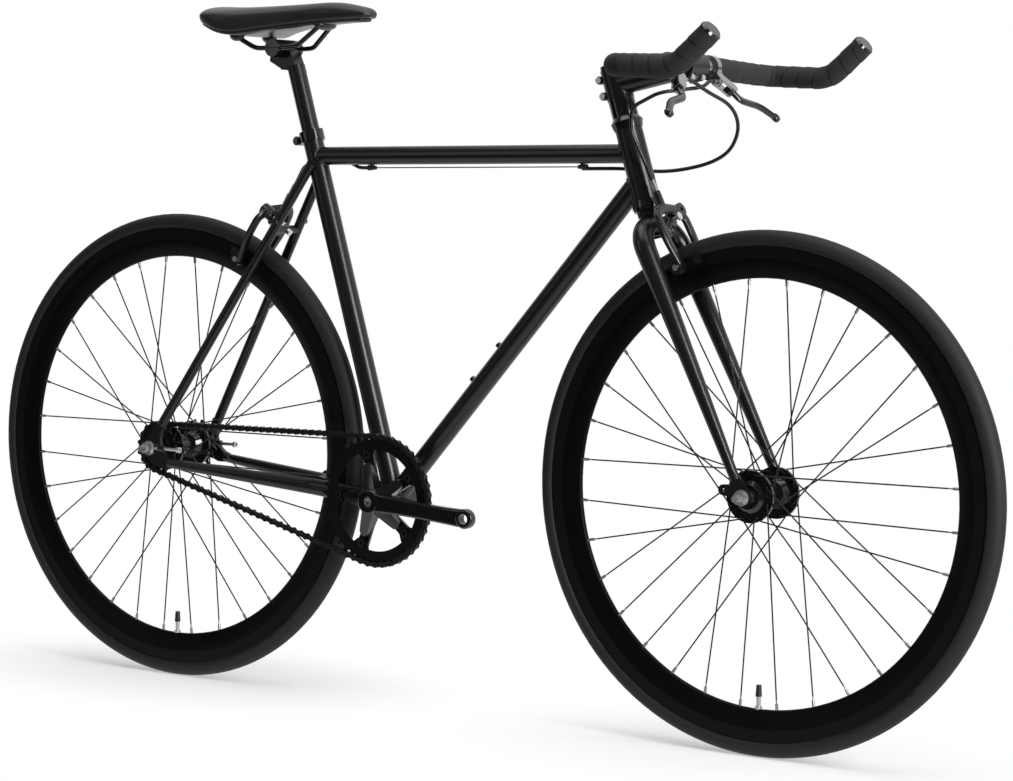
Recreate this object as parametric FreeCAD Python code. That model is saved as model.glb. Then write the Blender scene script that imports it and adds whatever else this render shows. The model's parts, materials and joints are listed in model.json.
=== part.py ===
"""Fixed gear bicycle with bullhorn bar and two calliper brakes, in millimetres.

+X is forward, +Y the rider's left, +Z up. The origin is on the ground, midway
between the two wheels. The drive side, with chainring and cog, is at -Y.
"""
import FreeCAD
import Part
import math
import os

V = FreeCAD.Vector
X = V(1, 0, 0)
Y = V(0, 1, 0)
Z = V(0, 0, 1)
OUT = "parts"
os.makedirs(OUT, exist_ok=True)

# Wheels: 700 x 28 tyres on deep rims, 32 spokes laced over three others
bead_seat_radius = 311.0
tyre_section = 28.0
tyre_wall = 2.6
rim_width = 23.0
rim_depth = 40.5
rim_hook_height = 6.5
rim_wall = 1.7
brake_track_height = 15.0
spokes_per_wheel = 32
spoke_crosses = 3
spoke_radius = 1.0
nipple_radius = 2.0
nipple_length = 13.0
valve_radius = 3.0
valve_length = 31.0
valve_cap_length = 15.0
valve_nut = 3.0
tube_slack = 1.2

# Hubs: high flanges, solid threaded axles, sealed bearings
hub_flange_radius = 34.0
hub_flange_thickness = 4.0
spoke_hole_circle = 29.0
hub_barrel_radius = 16.0
front_hub_width = 100.0
rear_hub_width = 120.0
front_flange_offset = 33.0
rear_flange_offset = 29.0
front_axle_radius = 4.5
rear_axle_radius = 5.0
bearing_radius = 13.0
bearing_width = 8.0
axle_nut_across = 15.0
axle_nut_height = 8.0
axle_overhang = 9.0
washer_radius = 10.5
washer_thickness = 1.5

# Drive: 44 teeth driving 17 through 94 half inch links
chain_pitch = 12.7
ring_teeth = 44
cog_teeth = 17
freewheel_teeth = 16
chain_links = 94
chain_line = 43.0
roller_radius = 3.875
chain_inner_width = 3.4
chain_plate = 1.0
chain_plate_radius = 4.25
chain_plate_waist = 2.6
chain_pin_radius = 1.8
chain_pin_overhang = 0.5
tooth_thickness = 2.8
tooth_height = 3.4
tooth_tip = 1.8
cog_thread_radius = 17.0
lockring_radius = 20.5
lockring_thickness = 4.0
freewheel_race = 24.0
freewheel_shell = 3.5

# Cranks and bottom bracket
crank_length = 170.0
crank_angle = -3.3
pedal_face = 75.0
crank_thickness = 13.0
crank_boss_radius = 17.5
crank_boss_face = 64.0
crank_eye_radius = 13.5
pedal_thread_radius = 7.14
bolt_circle = 65.0
spider_arms = 5
spider_tip_radius = 9.0
spider_root_half = 11.0
spider_root_face = 56.0
spider_knee = 53.5
spider_knee_half = 7.0
spider_knee_face = 47.9
chainring_web = 18.5
crank_clearance = 0.6
crank_edge = 3.0
# Each station of a crank arm: distance along it, half width, inner and outer face
crank_stations = [(0.0, 14.0, 44.0, 63.5), (48.0, 12.0, 50.5, 65.5), (125.0, 11.3, 60.0, 72.6),
                  (170.0, 12.6, 62.5, 74.4)]
chainring_bolt_radius = 4.5
spindle_radius = 8.5
spindle_square = 12.7
spindle_length = 112.0
shell_width = 68.0
shell_radius = 20.0
shell_bore = 17.3
cup_flange_radius = 19.2
cup_flange = 3.0
crank_bolt_radius = 6.5

# Frame
bb_drop = 48.7
front_centre = 588.3
seat_angle = 72.9
seat_tube_length = 531.0
seat_tube_radius = 14.3
seat_tube_bore = 12.75
top_tube_radius = 12.7
top_tube_at_seat = 496.0
top_tube_at_head = 64.0
down_tube_radius = 14.3
down_tube_at_head = 29.5
tube_wall = 1.2
head_angle = 72.0
head_tube_length = 98.0
head_tube_radius = 18.0
head_tube_wall = 1.6
chainstay_height = 26.0
chainstay_width = 16.0
chainstay_waist_width = 14.0
chainstay_at_shell = 24.0
chainstay_waist_y = 27.0
chainstay_waist_x = 115.0
chainstay_tip_radius = 6.5
chainstay_tip_drop = 20.0
chainstay_tip_ahead = 36.0
seatstay_radius = 7.0
seatstay_top = 485.0
seatstay_top_y = 15.0
seatstay_tip = 40.0
track_end_thickness = 6.0
track_slot_ahead = 14.0
track_slot_behind = 22.0
track_arm = 6.5
tensioner_radius = 2.5
tensioner_overhang = 32.0
tensioner_boss = 4.6
bridge_radius = 6.0
bottle_pitch = 64.0
bottle_low = 216.0
bolt_head_radius = 4.2
bolt_head = 3.0
bolt_radius = 2.5
rack_boss_from_top = 97.0
cable_stop_radius = 4.0
cable_stop_length = 13.0
cable_stop_taper = 1.2
front_stop_x = 207.0
rear_stop_x = -143.0
seat_clamp_wall = 3.2
seat_clamp_height = 15.0

# Fork and headset, all heights measured along the steering axis from the crown
fork_length = 390.0
fork_rake = 60.0
blade_top_radius = 14.0
blade_tip_radius = 6.5
blade_spread = 44.0
blade_bend = 34.0
shoulder_drop = 15.0
fork_end_thickness = 5.0
fork_end_reach = 24.0
steerer_radius = 14.3
steerer_wall = 2.2
crown_collar_wall = 2.4
crown_race_seat = 8.0
crown_race_height = 4.0
cup_height = 9.0
cup_radius = 21.5
headset_cap_height = 6.0
spacer_radius = 17.5
spacer_height = 8.3
spacers = 3
top_cap_height = 5.0

# Stem, bar and tape
stem_clamp_height = 42.0
stem_clamp_radius = 18.0
stem_reach = 112.0
stem_drop = 12.0
stem_radius = 15.5
bar_clamp_radius = 18.5
bar_clamp_width = 42.0
bar_clamp_split = 1.6
stem_bolt_radius = 2.5
stem_bolt_head = 4.2
bar_radius = 11.9
bar_bulge_radius = 12.7
bar_bulge_half = 34.0
bar_wall = 2.0
bar_sweep_bend = 120.0
bar_half_width = 196.0
bar_sweep_drop = 6.0
bar_forward = 98.0
bar_forward_drop = 4.0
bar_horn = 67.0
bar_horn_rise = 41.0
bar_corner_bend = 26.0
bar_horn_bend = 48.0
tape_thickness = 2.9
tape_start = 60.0
plug_length = 18.0
plug_cap = 3.0

# Brake levers
lever_clamp_y = 50.0
lever_clamp_width = 10.0
lever_clamp_wall = 4.5
lever_tilt = 50.0
lever_pivot_out = 64.0
lever_pivot_drop = 37.0
lever_thickness = 8.0
lever_cheek = 3.0
lever_pin_radius = 2.5
adjuster_radius = 3.6
adjuster_length = 12.0
lever_root_radius = 7.0
lever_half_width = 5.6
lever_tip_radius = 6.5
lever_tip_edge = 3.0
lever_line = [(0.0, 0.0), (8.0, 18.0), (48.0, 27.0), (70.0, 45.0)]
lever_bends = [14.0, 45.0]

# Callipers, each drawn across the wheel (u), up the fork or stay (w), and out from it (n)
calliper_from_axle = 376.0
pad_from_axle = 308.0
calliper_stand_off = 19.0
calliper_arm = 9.0
calliper_bolt_radius = 3.0
calliper_bolt_play = 2.0
calliper_nut_radius = 4.5
calliper_nut_height = 4.0
washer_wrap = 2.5
calliper_washer_radius = 7.0
adjuster_rise = 16.0
adjuster_bore = 1.6
calliper_pivot_u = 17.0
calliper_pivot_w = 11.0
pad_length = 52.0
pad_height = 10.0
pad_thickness = 9.0
pad_gap = 2.0
pad_post_radius = 4.0
pad_post_reach = 33.0
# The line of each arm before its pad: across and up
anchor_arm_line = [(-20.0, -17.0), (2.0, 6.0), (40.0, 16.0), (43.0, -28.0)]
anchor_arm_bends = [16.0, 15.0, 60.0]
adjuster_arm_line = [(17.0, 11.0), (-14.0, 14.0), (-40.0, 12.0), (-43.0, -28.0)]
adjuster_arm_bends = [30.0, 15.0, 60.0]
adjuster_horn_line = [(-20.0, 10.0), (-20.0, 38.0)]
calliper_arm_half = 7.5
adjuster_horn_half = 5.5
calliper_boss_radius = 9.5
anchor_screw_radius = 4.0
pad_lug_radius = 9.0

# Seat post and saddle
post_radius = 12.7
post_above = 97.0
post_inside = 150.0
post_wall = 2.4
clamp_set_back = 22.0
clamp_radius = 12.5
clamp_width = 56.0
rail_radius = 3.5
rail_height = 915.5
rail_y = 22.0
rail_bend = 20.0
rail_nose_back = 86.0
rail_nose_height = 946.0
rail_rear_back = 215.0
rail_rear_y = 36.0
rail_rear_height = 930.5
rail_nose_y = 13.0
rail_front_bend = 37.0
rail_front_flat = 18.0
rail_rear_bend = 34.0
saddle_nose_x = -143.0
saddle_shell_thickness = 3.0
saddle_inset = 4.0
# Each saddle station: distance behind the nose, half width, crown, edge and underside heights
saddle_stations = [(0.0, 9.0, 965.0, 961.5, 957.0),
                   (14.0, 18.0, 971.5, 964.0, 955.0),
                   (60.0, 22.0, 979.0, 967.5, 953.0),
                   (115.0, 30.0, 977.5, 966.5, 949.0),
                   (165.0, 47.0, 975.5, 964.5, 943.0),
                   (205.0, 65.0, 974.5, 962.0, 936.5),
                   (234.0, 69.5, 975.0, 961.5, 940.0),
                   (260.0, 65.0, 976.0, 962.5, 949.5),
                   (275.0, 45.0, 972.5, 963.0, 957.0)]

# Cables
housing_radius = 2.5
wire_radius = 0.8
wire_tail = 10.0
crimp_length = 8.0

# Clearances
run_gap = 0.05
side_gap = 0.3
seat_gap = 0.15
roller_gap = 0.08


def unit(vector):
    """A copy of a vector, one millimetre long."""
    return V(vector).normalize()


def rod(start, end, radius):
    """A plain round bar between two points."""
    return Part.makeCylinder(radius, (end - start).Length, start, end - start)


def pipe(start, end, radius, bore):
    """A straight tube between two points."""
    return rod(start, end, radius).cut(rod(start, end, bore))


def cone(start, end, start_radius, end_radius):
    """A tapered round bar between two points."""
    return Part.makeCone(start_radius, end_radius, (end - start).Length, start, end - start)


def fused(shapes):
    """One clean solid from pieces that overlap."""
    return shapes[0].multiFuse(shapes[1:]).removeSplitter()


def across(half, radius, bore=0.0, centre=V(0, 0, 0)):
    """A disc or ring about a Y axis, from one y to another."""
    low, high = half
    start = centre + V(0, low, 0)
    end = centre + V(0, high, 0)
    return pipe(start, end, radius, bore) if bore else rod(start, end, radius)


def hexagon(start, end, across_flats):
    """A six sided bar, such as a nut, between two points."""
    turn = FreeCAD.Rotation(V(0, 0, 1), end - start)
    corner = across_flats / math.sqrt(3)
    ring = [start + turn.multVec(V(corner * math.cos(k * math.pi / 3),
                                   corner * math.sin(k * math.pi / 3), 0))
            for k in range(7)]
    return Part.Face(Part.makePolygon(ring)).extrude(end - start)


def outline(start, *steps):
    """A closed wire: each step is a point, or a pair of points for an arc."""
    edges = []
    here = start
    for step in list(steps) + [start]:
        if isinstance(step, tuple):
            middle, end = step
            edges.append(Part.Arc(here, middle, end).toShape())
        else:
            end = step
            if (end - here).Length > 1e-6:
                edges.append(Part.LineSegment(here, end).toShape())
        here = end
    return Part.Wire(edges)


def area(outer, *holes):
    """A flat face with holes."""
    return Part.makeFace([outer, *holes], "Part::FaceMakerBullseye")


def turned(outer, *holes):
    """A solid turned about the Y axis from a section drawn in the YZ plane."""
    return area(outer, *holes).revolve(V(0, 0, 0), V(0, 1, 0), 360)


def route(points, bends):
    """Straight runs joined by tangent arcs, one bend radius for each corner."""
    edges = []
    here = points[0]
    for before, corner, after, bend in zip(points, points[1:], points[2:], bends):
        into = unit(corner - before)
        out = unit(after - corner)
        half_turn = into.getAngle(out) / 2
        setback = bend * math.tan(half_turn)
        start = corner - into * setback
        end = corner + out * setback
        middle = corner + unit(out - into) * (bend / math.cos(half_turn) - bend)
        if (start - here).Length > 1e-6:
            edges.append(Part.LineSegment(here, start).toShape())
        edges.append(Part.Arc(start, middle, end).toShape())
        here = end
    edges.append(Part.LineSegment(here, points[-1]).toShape())
    return Part.Wire(edges)


def swept(path, radius):
    """A round bar along a route."""
    first = path.OrderedEdges[0]
    section = Part.Wire(Part.makeCircle(radius, first.valueAt(first.FirstParameter),
                                        first.tangentAt(first.FirstParameter)))
    return path.makePipeShell([section], True, False)


def links(line, low, high):
    """A flat arm with round ends: (x, y, radius) stations joined by tangent sides."""
    pieces = []
    for x, y, radius in line:
        pieces.append(Part.makeCylinder(radius, high - low, V(x, y, low)))
    for (x0, y0, r0), (x1, y1, r1) in zip(line, line[1:]):
        start = V(x0, y0, low)
        end = V(x1, y1, low)
        along = unit(end - start)
        side = V(-along.y, along.x, 0)
        lean = math.asin((r0 - r1) / (end - start).Length)
        left = side * math.cos(lean) + along * math.sin(lean)
        right = along * math.sin(lean) - side * math.cos(lean)
        corners = [start + left * r0, end + left * r1, end + right * r1, start + right * r0]
        face = Part.Face(Part.makePolygon(corners + corners[:1]))
        pieces.append(face.extrude(V(0, 0, high - low)))
    return fused(pieces)


def ring(centre, tall, wide):
    """An oval wire of four arcs, from its two half axes."""

    def at(degrees):
        angle = math.radians(degrees)
        return centre + tall * math.cos(angle) + wide * math.sin(angle)

    return outline(at(0), (at(45), at(90)), (at(135), at(180)), (at(225), at(270)), (at(315), at(0)))


def oval_bar(points, bends, half_wide, half_thick):
    """A flattened bar along a route that keeps to one height."""
    path = route(points, bends)
    way = unit(points[1] - points[0])
    return path.makePipeShell([ring(points[0], way.cross(Z) * half_wide, Z * half_thick)], True, False)


def soft_disc(radius, low, high, centre, edge):
    """A round disc along z whose two rims are rounded."""
    disc = Part.makeCylinder(radius, high - low, centre + V(0, 0, low))
    rims = [rim for rim in disc.Edges if isinstance(rim.Curve, Part.Circle)]
    return disc.makeFillet(edge, rims)


def plank(x, half, low, high, edge):
    """A rectangle with round corners, across a bar that runs along x."""
    flat = half - edge
    dip = edge * (1 - math.sqrt(0.5))
    return outline(V(x, -flat, low), V(x, flat, low),
                   (V(x, half - dip, low + dip), V(x, half, low + edge)),
                   V(x, half, high - edge), (V(x, half - dip, high - dip), V(x, flat, high)),
                   V(x, -flat, high),
                   (V(x, dip - half, high - dip), V(x, -half, high - edge)), V(x, -half, low + edge),
                   (V(x, dip - half, low + dip), V(x, -flat, low)))


def placed(shape, origin, x_axis, y_axis, z_axis):
    """A copy of a shape drawn in its own axes, moved to its place."""
    copy = shape.copy()
    copy.Placement = FreeCAD.Placement(origin, FreeCAD.Rotation(x_axis, y_axis, z_axis, "ZXY"))
    return copy


def mirrored(shape):
    """The same piece on the rider's other side."""
    return shape.mirror(V(0, 0, 0), V(0, 1, 0))


def save(name, *shapes):
    """Write one named piece, or a group of like pieces."""
    shape = shapes[0] if len(shapes) == 1 else Part.makeCompound(list(shapes))
    shape.exportStep(os.path.join(OUT, name + ".step"))


# Places worked out from the sizes above
wheel_radius = bead_seat_radius + tyre_section
ring_radius = chain_pitch / 2 / math.sin(math.pi / ring_teeth)
cog_radius = chain_pitch / 2 / math.sin(math.pi / cog_teeth)


def pitches(centres):
    """How many chain pitches lie round ring and cog at a given centre distance."""
    lean = math.asin((ring_radius - cog_radius) / centres)
    around_ring = ring_teeth * (math.pi + 2 * lean) / (2 * math.pi)
    around_cog = cog_teeth * (math.pi - 2 * lean) / (2 * math.pi)
    return around_ring + around_cog + 2 * centres * math.cos(lean) / chain_pitch


def chain_centres():
    """The centre distance at which the chain is just taut."""
    low = ring_radius + cog_radius
    high = chain_links * chain_pitch
    for _ in range(60):
        middle = (low + high) / 2
        if pitches(middle) < chain_links:
            low = middle
        else:
            high = middle
    return low


stay_length = chain_centres()
stay_run = math.sqrt(stay_length ** 2 - bb_drop ** 2)
wheelbase = stay_run + front_centre
rear_axle = V(-wheelbase / 2, 0, wheel_radius)
front_axle = V(wheelbase / 2, 0, wheel_radius)
bottom_bracket = V(rear_axle.x + stay_run, 0, wheel_radius - bb_drop)
seat_up = V(-math.cos(math.radians(seat_angle)), 0, math.sin(math.radians(seat_angle)))
steer_up = V(-math.cos(math.radians(head_angle)), 0, math.sin(math.radians(head_angle)))
steer_ahead = V(steer_up.z, 0, -steer_up.x)
crown = front_axle - steer_ahead * fork_rake + steer_up * fork_length
cup_low = crown_race_seat + crown_race_height + side_gap
head_low = cup_low + cup_height
head_high = head_low + head_tube_length
cap_low = head_high + cup_height + side_gap
spacer_low = cap_low + headset_cap_height
stem_low = spacer_low + spacers * spacer_height
stem_high = stem_low + stem_clamp_height


def up_steerer(height):
    """A point on the steering axis."""
    return crown + steer_up * height


def up_seat(height):
    """A point on the seat tube's axis, measured from the bottom bracket."""
    return bottom_bracket + seat_up * height


# Wheels
edge_radius = bead_seat_radius + rim_hook_height
rim_half = rim_width / 2
track_low = edge_radius - brake_track_height
nose_radius = edge_radius - rim_depth
well_radius = bead_seat_radius - 4.0
well_half = rim_half - rim_wall
cavity_low = nose_radius + 4.5
lacing_turn = 360.0 / (spokes_per_wheel / 2) * spoke_crosses


def section(y, r):
    """A point of a wheel's section, r from the axle."""
    return V(0, y, r)


def rim_blank():
    """Deep rim: tyre well outside, a closed hollow below it, a rounded nose inside."""
    nose_half = 4.5
    flank = ((rim_half + nose_half) / 2 + 1.2, (track_low + nose_radius + 3) / 2)
    outer = outline(section(-rim_half, edge_radius), section(-rim_half, track_low),
                    (section(-flank[0], flank[1]), section(-nose_half, nose_radius + 3)),
                    (section(0, nose_radius), section(nose_half, nose_radius + 3)),
                    (section(flank[0], flank[1]), section(rim_half, track_low)),
                    section(rim_half, edge_radius), section(well_half, edge_radius),
                    section(well_half, well_radius),
                    (section(0, well_radius - 3), section(-well_half, well_radius)),
                    section(-well_half, edge_radius))
    hollow_half = rim_half - rim_wall - 0.8
    hollow = outline(section(-hollow_half, track_low), section(0, well_radius - 3 - rim_wall),
                     section(hollow_half, track_low), section(3.2, cavity_low), section(-3.2, cavity_low))
    return turned(outer, hollow)


def tyre():
    """A 28 mm tyre: round outside, open inside, its beads held between the rim's hooks."""
    crown_half = tyre_section / 2
    middle = wheel_radius - crown_half
    bead_half = well_half - seat_gap
    neck = edge_radius + 0.7
    foot = well_radius + 1.0
    liner = crown_half - tyre_wall
    shoulder = crown_half * math.sqrt(0.5)
    bulge = ((bead_half + crown_half) / 2 + 1.1, (neck + middle) / 2 - 0.6)
    toe = bead_half - tyre_wall
    inner_low = middle - math.sqrt(liner ** 2 - toe ** 2)
    return turned(outline(
        section(-bead_half, foot), section(-bead_half, neck),
        (section(-bulge[0], bulge[1]), section(-crown_half, middle)),
        (section(-shoulder, middle + shoulder), section(0, wheel_radius)),
        (section(shoulder, middle + shoulder), section(crown_half, middle)),
        (section(bulge[0], bulge[1]), section(bead_half, neck)),
        section(bead_half, foot), section(toe, foot), section(toe, inner_low),
        (section(liner, middle), section(0, middle + liner)),
        (section(-liner, middle), section(-toe, inner_low)), section(-toe, foot)))


def inner_tube():
    """The tube with its valve stem at the lowest point, the valve's lock nut, and its cap."""
    fill = tyre_section / 2 - tyre_wall - tube_slack
    centre = wheel_radius - tyre_section / 2 - 0.5
    tip = nose_radius - valve_length
    cap_foot = tip + valve_cap_length
    stem = rod(V(0, 0, -centre), V(0, 0, -cap_foot), valve_radius)
    tube = fused([Part.makeTorus(centre, fill, V(0, 0, 0), Y), stem])
    nut_seat = seat_gap - nose_radius
    nut = pipe(V(0, 0, nut_seat), V(0, 0, nut_seat + valve_nut), valve_radius + 2, valve_radius)
    cap = cone(V(0, 0, -cap_foot), V(0, 0, -tip), valve_radius + 1.3, valve_radius + 0.4)
    return [tube, nut, cap]


def lean_past_flange(hole, rim_point, flange_offset):
    """How far a spoke leans inward before it has left the flange's edge."""
    way = unit(rim_point - hole)
    inward = hole.dot(way)
    run = math.sqrt(inward ** 2 + hub_flange_radius ** 2 - spoke_hole_circle ** 2) - inward
    return 1.1 * run * flange_offset / (rim_point - hole).Length


def wheel(prefix, axle, hub_solids, flange_offset):
    """Write one wheel: rim, tyre, tube, spokes with nipples, and the hub."""
    spokes = []
    nipples = []
    drills = []
    step = 360.0 / spokes_per_wheel
    for k in range(spokes_per_wheel):
        side = -1 if k % 2 == 0 else 1
        leading = (k // 2) % 2 == 0
        at_rim = math.radians(-90 + step * (k + 0.5))
        at_hub = at_rim + math.radians(lacing_turn if leading else -lacing_turn)
        outside = 1 if leading else -1
        face = hub_flange_thickness / 2 + spoke_radius + seat_gap
        rim_point = V(nose_radius * math.cos(at_rim), 0, nose_radius * math.sin(at_rim))
        hole = V(spoke_hole_circle * math.cos(at_hub), 0, spoke_hole_circle * math.sin(at_hub))
        lean = lean_past_flange(hole, rim_point, flange_offset) if leading else 0.0
        root = hole + Y * (side * (flange_offset + outside * (face + lean)))
        along = unit(rim_point - root)
        seat = rim_point + along * (cavity_low - nose_radius + 0.6)
        nipple_end = seat - along * nipple_length
        spoke_end = seat - along * 4
        head = V(root.x, side * (flange_offset - outside * (face + 0.4)), root.z)
        head_face = V(root.x, side * (flange_offset - outside * (face - 0.6)), root.z)
        spokes.append(fused([rod(root, spoke_end, spoke_radius), Part.makeSphere(spoke_radius, root),
                             rod(root, head, spoke_radius), rod(head_face, head, spoke_radius * 1.8)]))
        barrel = rod(nipple_end, seat, nipple_radius)
        collar = rod(seat, seat + along * 3, nipple_radius * 1.6)
        bore = rod(nipple_end, spoke_end, spoke_radius + run_gap)
        nipples.append(barrel.fuse(collar).removeSplitter().cut(bore))
        drills.append(rod(nipple_end, seat, nipple_radius + seat_gap))
        drills.append(rod(seat, seat + along * 3.4, nipple_radius * 1.6 + seat_gap))
    drills.append(rod(V(0, 0, -nose_radius + 5), V(0, 0, -well_radius), valve_radius + seat_gap))
    rim = rim_blank().cut(Part.makeCompound(drills))
    hub = [hub_solids[0].cut(Part.makeCompound(flange_drills(flange_offset)))] + hub_solids[1:]
    for name, shapes in {"tyre": [tyre()], "inner_tube": inner_tube(), "rim": [rim],
                         "spokes": spokes + nipples, "hub": hub}.items():
        save(prefix + "_" + name, *[shape.translated(axle) for shape in shapes])


def flange_drills(flange_offset):
    """The spoke holes through both flanges."""
    holes = []
    for k in range(spokes_per_wheel):
        side = -1 if k % 2 == 0 else 1
        angle = math.radians(-90 + 360.0 / spokes_per_wheel * (k + 0.5) + lacing_turn)
        place = V(spoke_hole_circle * math.cos(angle), 0, spoke_hole_circle * math.sin(angle))
        middle = side * flange_offset
        reach = hub_flange_thickness
        holes.append(across((middle - reach, middle + reach), spoke_radius + 0.25, 0, place))
    return holes


def hub_shell(flange_offset, end_radius, end):
    """A turned hub body with high flanges, waisted barrel, and pockets for the two bearings."""
    inner = flange_offset - hub_flange_thickness / 2
    outer = flange_offset + hub_flange_thickness / 2
    swell = hub_barrel_radius + 5
    profile = [(-end, 0), (-end, end_radius), (-outer - 3, end_radius), (-outer, swell),
               (-outer, hub_flange_radius),
               (-inner, hub_flange_radius), (-inner, swell), (-inner + 8, hub_barrel_radius)]
    points = profile + [(-y, r) for y, r in reversed(profile)]
    shell = turned(outline(*[section(y, r) for y, r in points]))
    shell = shell.cut(across((-end, end), bearing_radius - 3))
    pocket = bearing_width
    for low, high in ((-end, -end + pocket), (end - pocket, end)):
        shell = shell.cut(across((low, high), bearing_radius))
    return shell


def hub_bearings(end, axle_radius):
    """Two sealed bearings, flush with the hub's ends."""
    return [across((low, low + bearing_width), bearing_radius, axle_radius + run_gap)
            for low in (-end, end - bearing_width)]


def axle_set(axle, axle_radius, over_ends, plate, end):
    """The solid axle with its spacers, and the washers and nuts outside the frame's ends."""
    half = over_ends / 2
    tip = half + plate + washer_thickness + axle_nut_height + axle_overhang
    shaft = across((-tip, tip), axle_radius)
    spacer = across((end + side_gap, half), axle_radius + 4.0)
    axle_solid = fused([shaft, spacer, mirrored(spacer)])
    washer = across((half + plate, half + plate + washer_thickness), washer_radius, axle_radius + run_gap)
    nut_low = half + plate + washer_thickness
    nut = hexagon(V(0, nut_low, 0), V(0, nut_low + axle_nut_height, 0), axle_nut_across)
    nut = nut.cut(across((nut_low, nut_low + axle_nut_height), axle_radius + run_gap))
    pieces = [axle_solid, washer, mirrored(washer), nut, mirrored(nut)]
    return [piece.translated(axle) for piece in pieces]


front_hub_end = front_hub_width / 2 - 9.0
rear_hub_end = rear_hub_width / 2 - 8.5
front_hub = [hub_shell(front_flange_offset, hub_barrel_radius, front_hub_end)]
rear_hub = [hub_shell(rear_flange_offset, cog_thread_radius, rear_hub_end)]
shoulder_y = rear_flange_offset + hub_flange_thickness / 2 + 3.0
freewheel_core = across((shoulder_y + seat_gap, rear_hub_end - 0.5), freewheel_race - run_gap,
                        cog_thread_radius + run_gap)
wheel("front", front_axle, front_hub + hub_bearings(front_hub_end, front_axle_radius),
      front_flange_offset)
wheel("rear", rear_axle, rear_hub + hub_bearings(rear_hub_end, rear_axle_radius) + [freewheel_core],
      rear_flange_offset)
save("front_axle", *axle_set(front_axle, front_axle_radius, front_hub_width, fork_end_thickness,
                             front_hub_end))
save("rear_axle", *axle_set(rear_axle, rear_axle_radius, rear_hub_width, track_end_thickness,
                            rear_hub_end))


# Drive
def sprocket(teeth, phase, bore):
    """A toothed disc about Y: each gap seats one roller, each tooth tapers to a flat tip."""
    pitch_radius = chain_pitch / 2 / math.sin(math.pi / teeth)
    seat = roller_radius + roller_gap
    step = 2 * math.pi / teeth

    def polar(angle, radius, sideways):
        return V(radius * math.cos(angle) - sideways * math.sin(angle), 0,
                 radius * math.sin(angle) + sideways * math.cos(angle))

    steps = []
    for k in range(teeth):
        gap = phase + k * step
        rise = pitch_radius - seat * math.cos(math.pi / 3)
        wide = seat * math.sin(math.pi / 3)
        steps.append(polar(gap, rise, -wide))
        steps.append((polar(gap, pitch_radius - seat, 0), polar(gap, rise, wide)))
        steps.append(polar(gap + step / 2, pitch_radius + tooth_height, -tooth_tip / 2))
        steps.append(polar(gap + step / 2, pitch_radius + tooth_height, tooth_tip / 2))
    disc = area(outline(*steps)).extrude(V(0, tooth_thickness, 0)).translated(V(0,
                                                                                -tooth_thickness / 2, 0))
    return disc.cut(across((-tooth_thickness, tooth_thickness), bore))


chain_lean = math.asin((ring_radius - cog_radius) / stay_length)
stay_slope = math.atan2(bottom_bracket.z - rear_axle.z, bottom_bracket.x - rear_axle.x)
top_tangent = stay_slope + math.pi / 2 + chain_lean
low_tangent = stay_slope - math.pi / 2 - chain_lean
drive_plane = V(0, -chain_line, 0)
run_pitches = stay_length * math.cos(chain_lean) / chain_pitch
cog_pitches = cog_teeth * (math.pi - 2 * chain_lean) / (2 * math.pi)


def chain_pin(count):
    """The place of a pin, counted in pitches back from the top of the ring, and round."""
    top_ring = bottom_bracket + V(math.cos(top_tangent), 0, math.sin(top_tangent)) * ring_radius
    top_cog = rear_axle + V(math.cos(top_tangent), 0, math.sin(top_tangent)) * cog_radius
    low_cog = rear_axle + V(math.cos(low_tangent), 0, math.sin(low_tangent)) * cog_radius
    low_ring = bottom_bracket + V(math.cos(low_tangent), 0, math.sin(low_tangent)) * ring_radius
    if count <= run_pitches:
        return top_ring + (top_cog - top_ring) * (count / run_pitches)
    count -= run_pitches
    if count <= cog_pitches:
        angle = top_tangent + count * 2 * math.pi / cog_teeth
        return rear_axle + V(math.cos(angle), 0, math.sin(angle)) * cog_radius
    count -= cog_pitches
    if count <= run_pitches:
        return low_cog + (low_ring - low_cog) * (count / run_pitches)
    count -= run_pitches
    angle = low_tangent + count * 2 * math.pi / ring_teeth
    return bottom_bracket + V(math.cos(angle), 0, math.sin(angle)) * ring_radius


def chain_side_plate(low):
    """One waisted plate of a link, centred on its two pins, one plate thick from y = low."""
    half = chain_pitch / 2
    lobe = 1.5
    high = math.sqrt(chain_plate_radius ** 2 - lobe ** 2)
    shape = outline(V(-half + lobe, low, high), (V(0, low, chain_plate_waist), V(half - lobe, low, high)),
                    (V(half + chain_plate_radius, low, 0), V(half - lobe, low, -high)),
                    (V(0, low, -chain_plate_waist), V(-half + lobe, low, -high)),
                    (V(-half - chain_plate_radius, low, 0), V(-half + lobe, low, high)))
    return area(shape).extrude(V(0, chain_plate, 0))


def chain_link(inner):
    """Inner links carry two rollers, outer links two pins."""
    half = chain_pitch / 2
    inside = chain_inner_width / 2 if inner else chain_inner_width / 2 + chain_plate + 0.1
    pieces = [chain_side_plate(inside), chain_side_plate(-inside - chain_plate)]
    reach = inside + chain_plate + (0 if inner else chain_pin_overhang)
    for x in (-half, half):
        span = (-inside - 0.5, inside + 0.5) if inner else (-reach, reach)
        pieces.append(across(span, roller_radius if inner else chain_pin_radius, 0, V(x, 0, 0)))
    link = fused(pieces)
    if inner:
        for x in (-half, half):
            link = link.cut(across((-reach, reach), chain_pin_radius + run_gap, 0, V(x, 0, 0)))
    return link


def chain():
    """Inner and outer links in turn, each from one pin to the next."""
    kinds = [chain_link(True), chain_link(False)]
    solids = []
    for k in range(chain_links):
        start = chain_pin(k)
        end = chain_pin((k + 1) % chain_links)
        along = unit(end - start)
        solids.append(placed(kinds[k % 2], (start + end) * 0.5 + drive_plane, along, Y, along.cross(Y)))
    return solids


def cog_phase():
    """The angle of the first pin that lies on the cog."""
    first = math.ceil(run_pitches)
    return top_tangent + (first - run_pitches) * 2 * math.pi / cog_teeth


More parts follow.
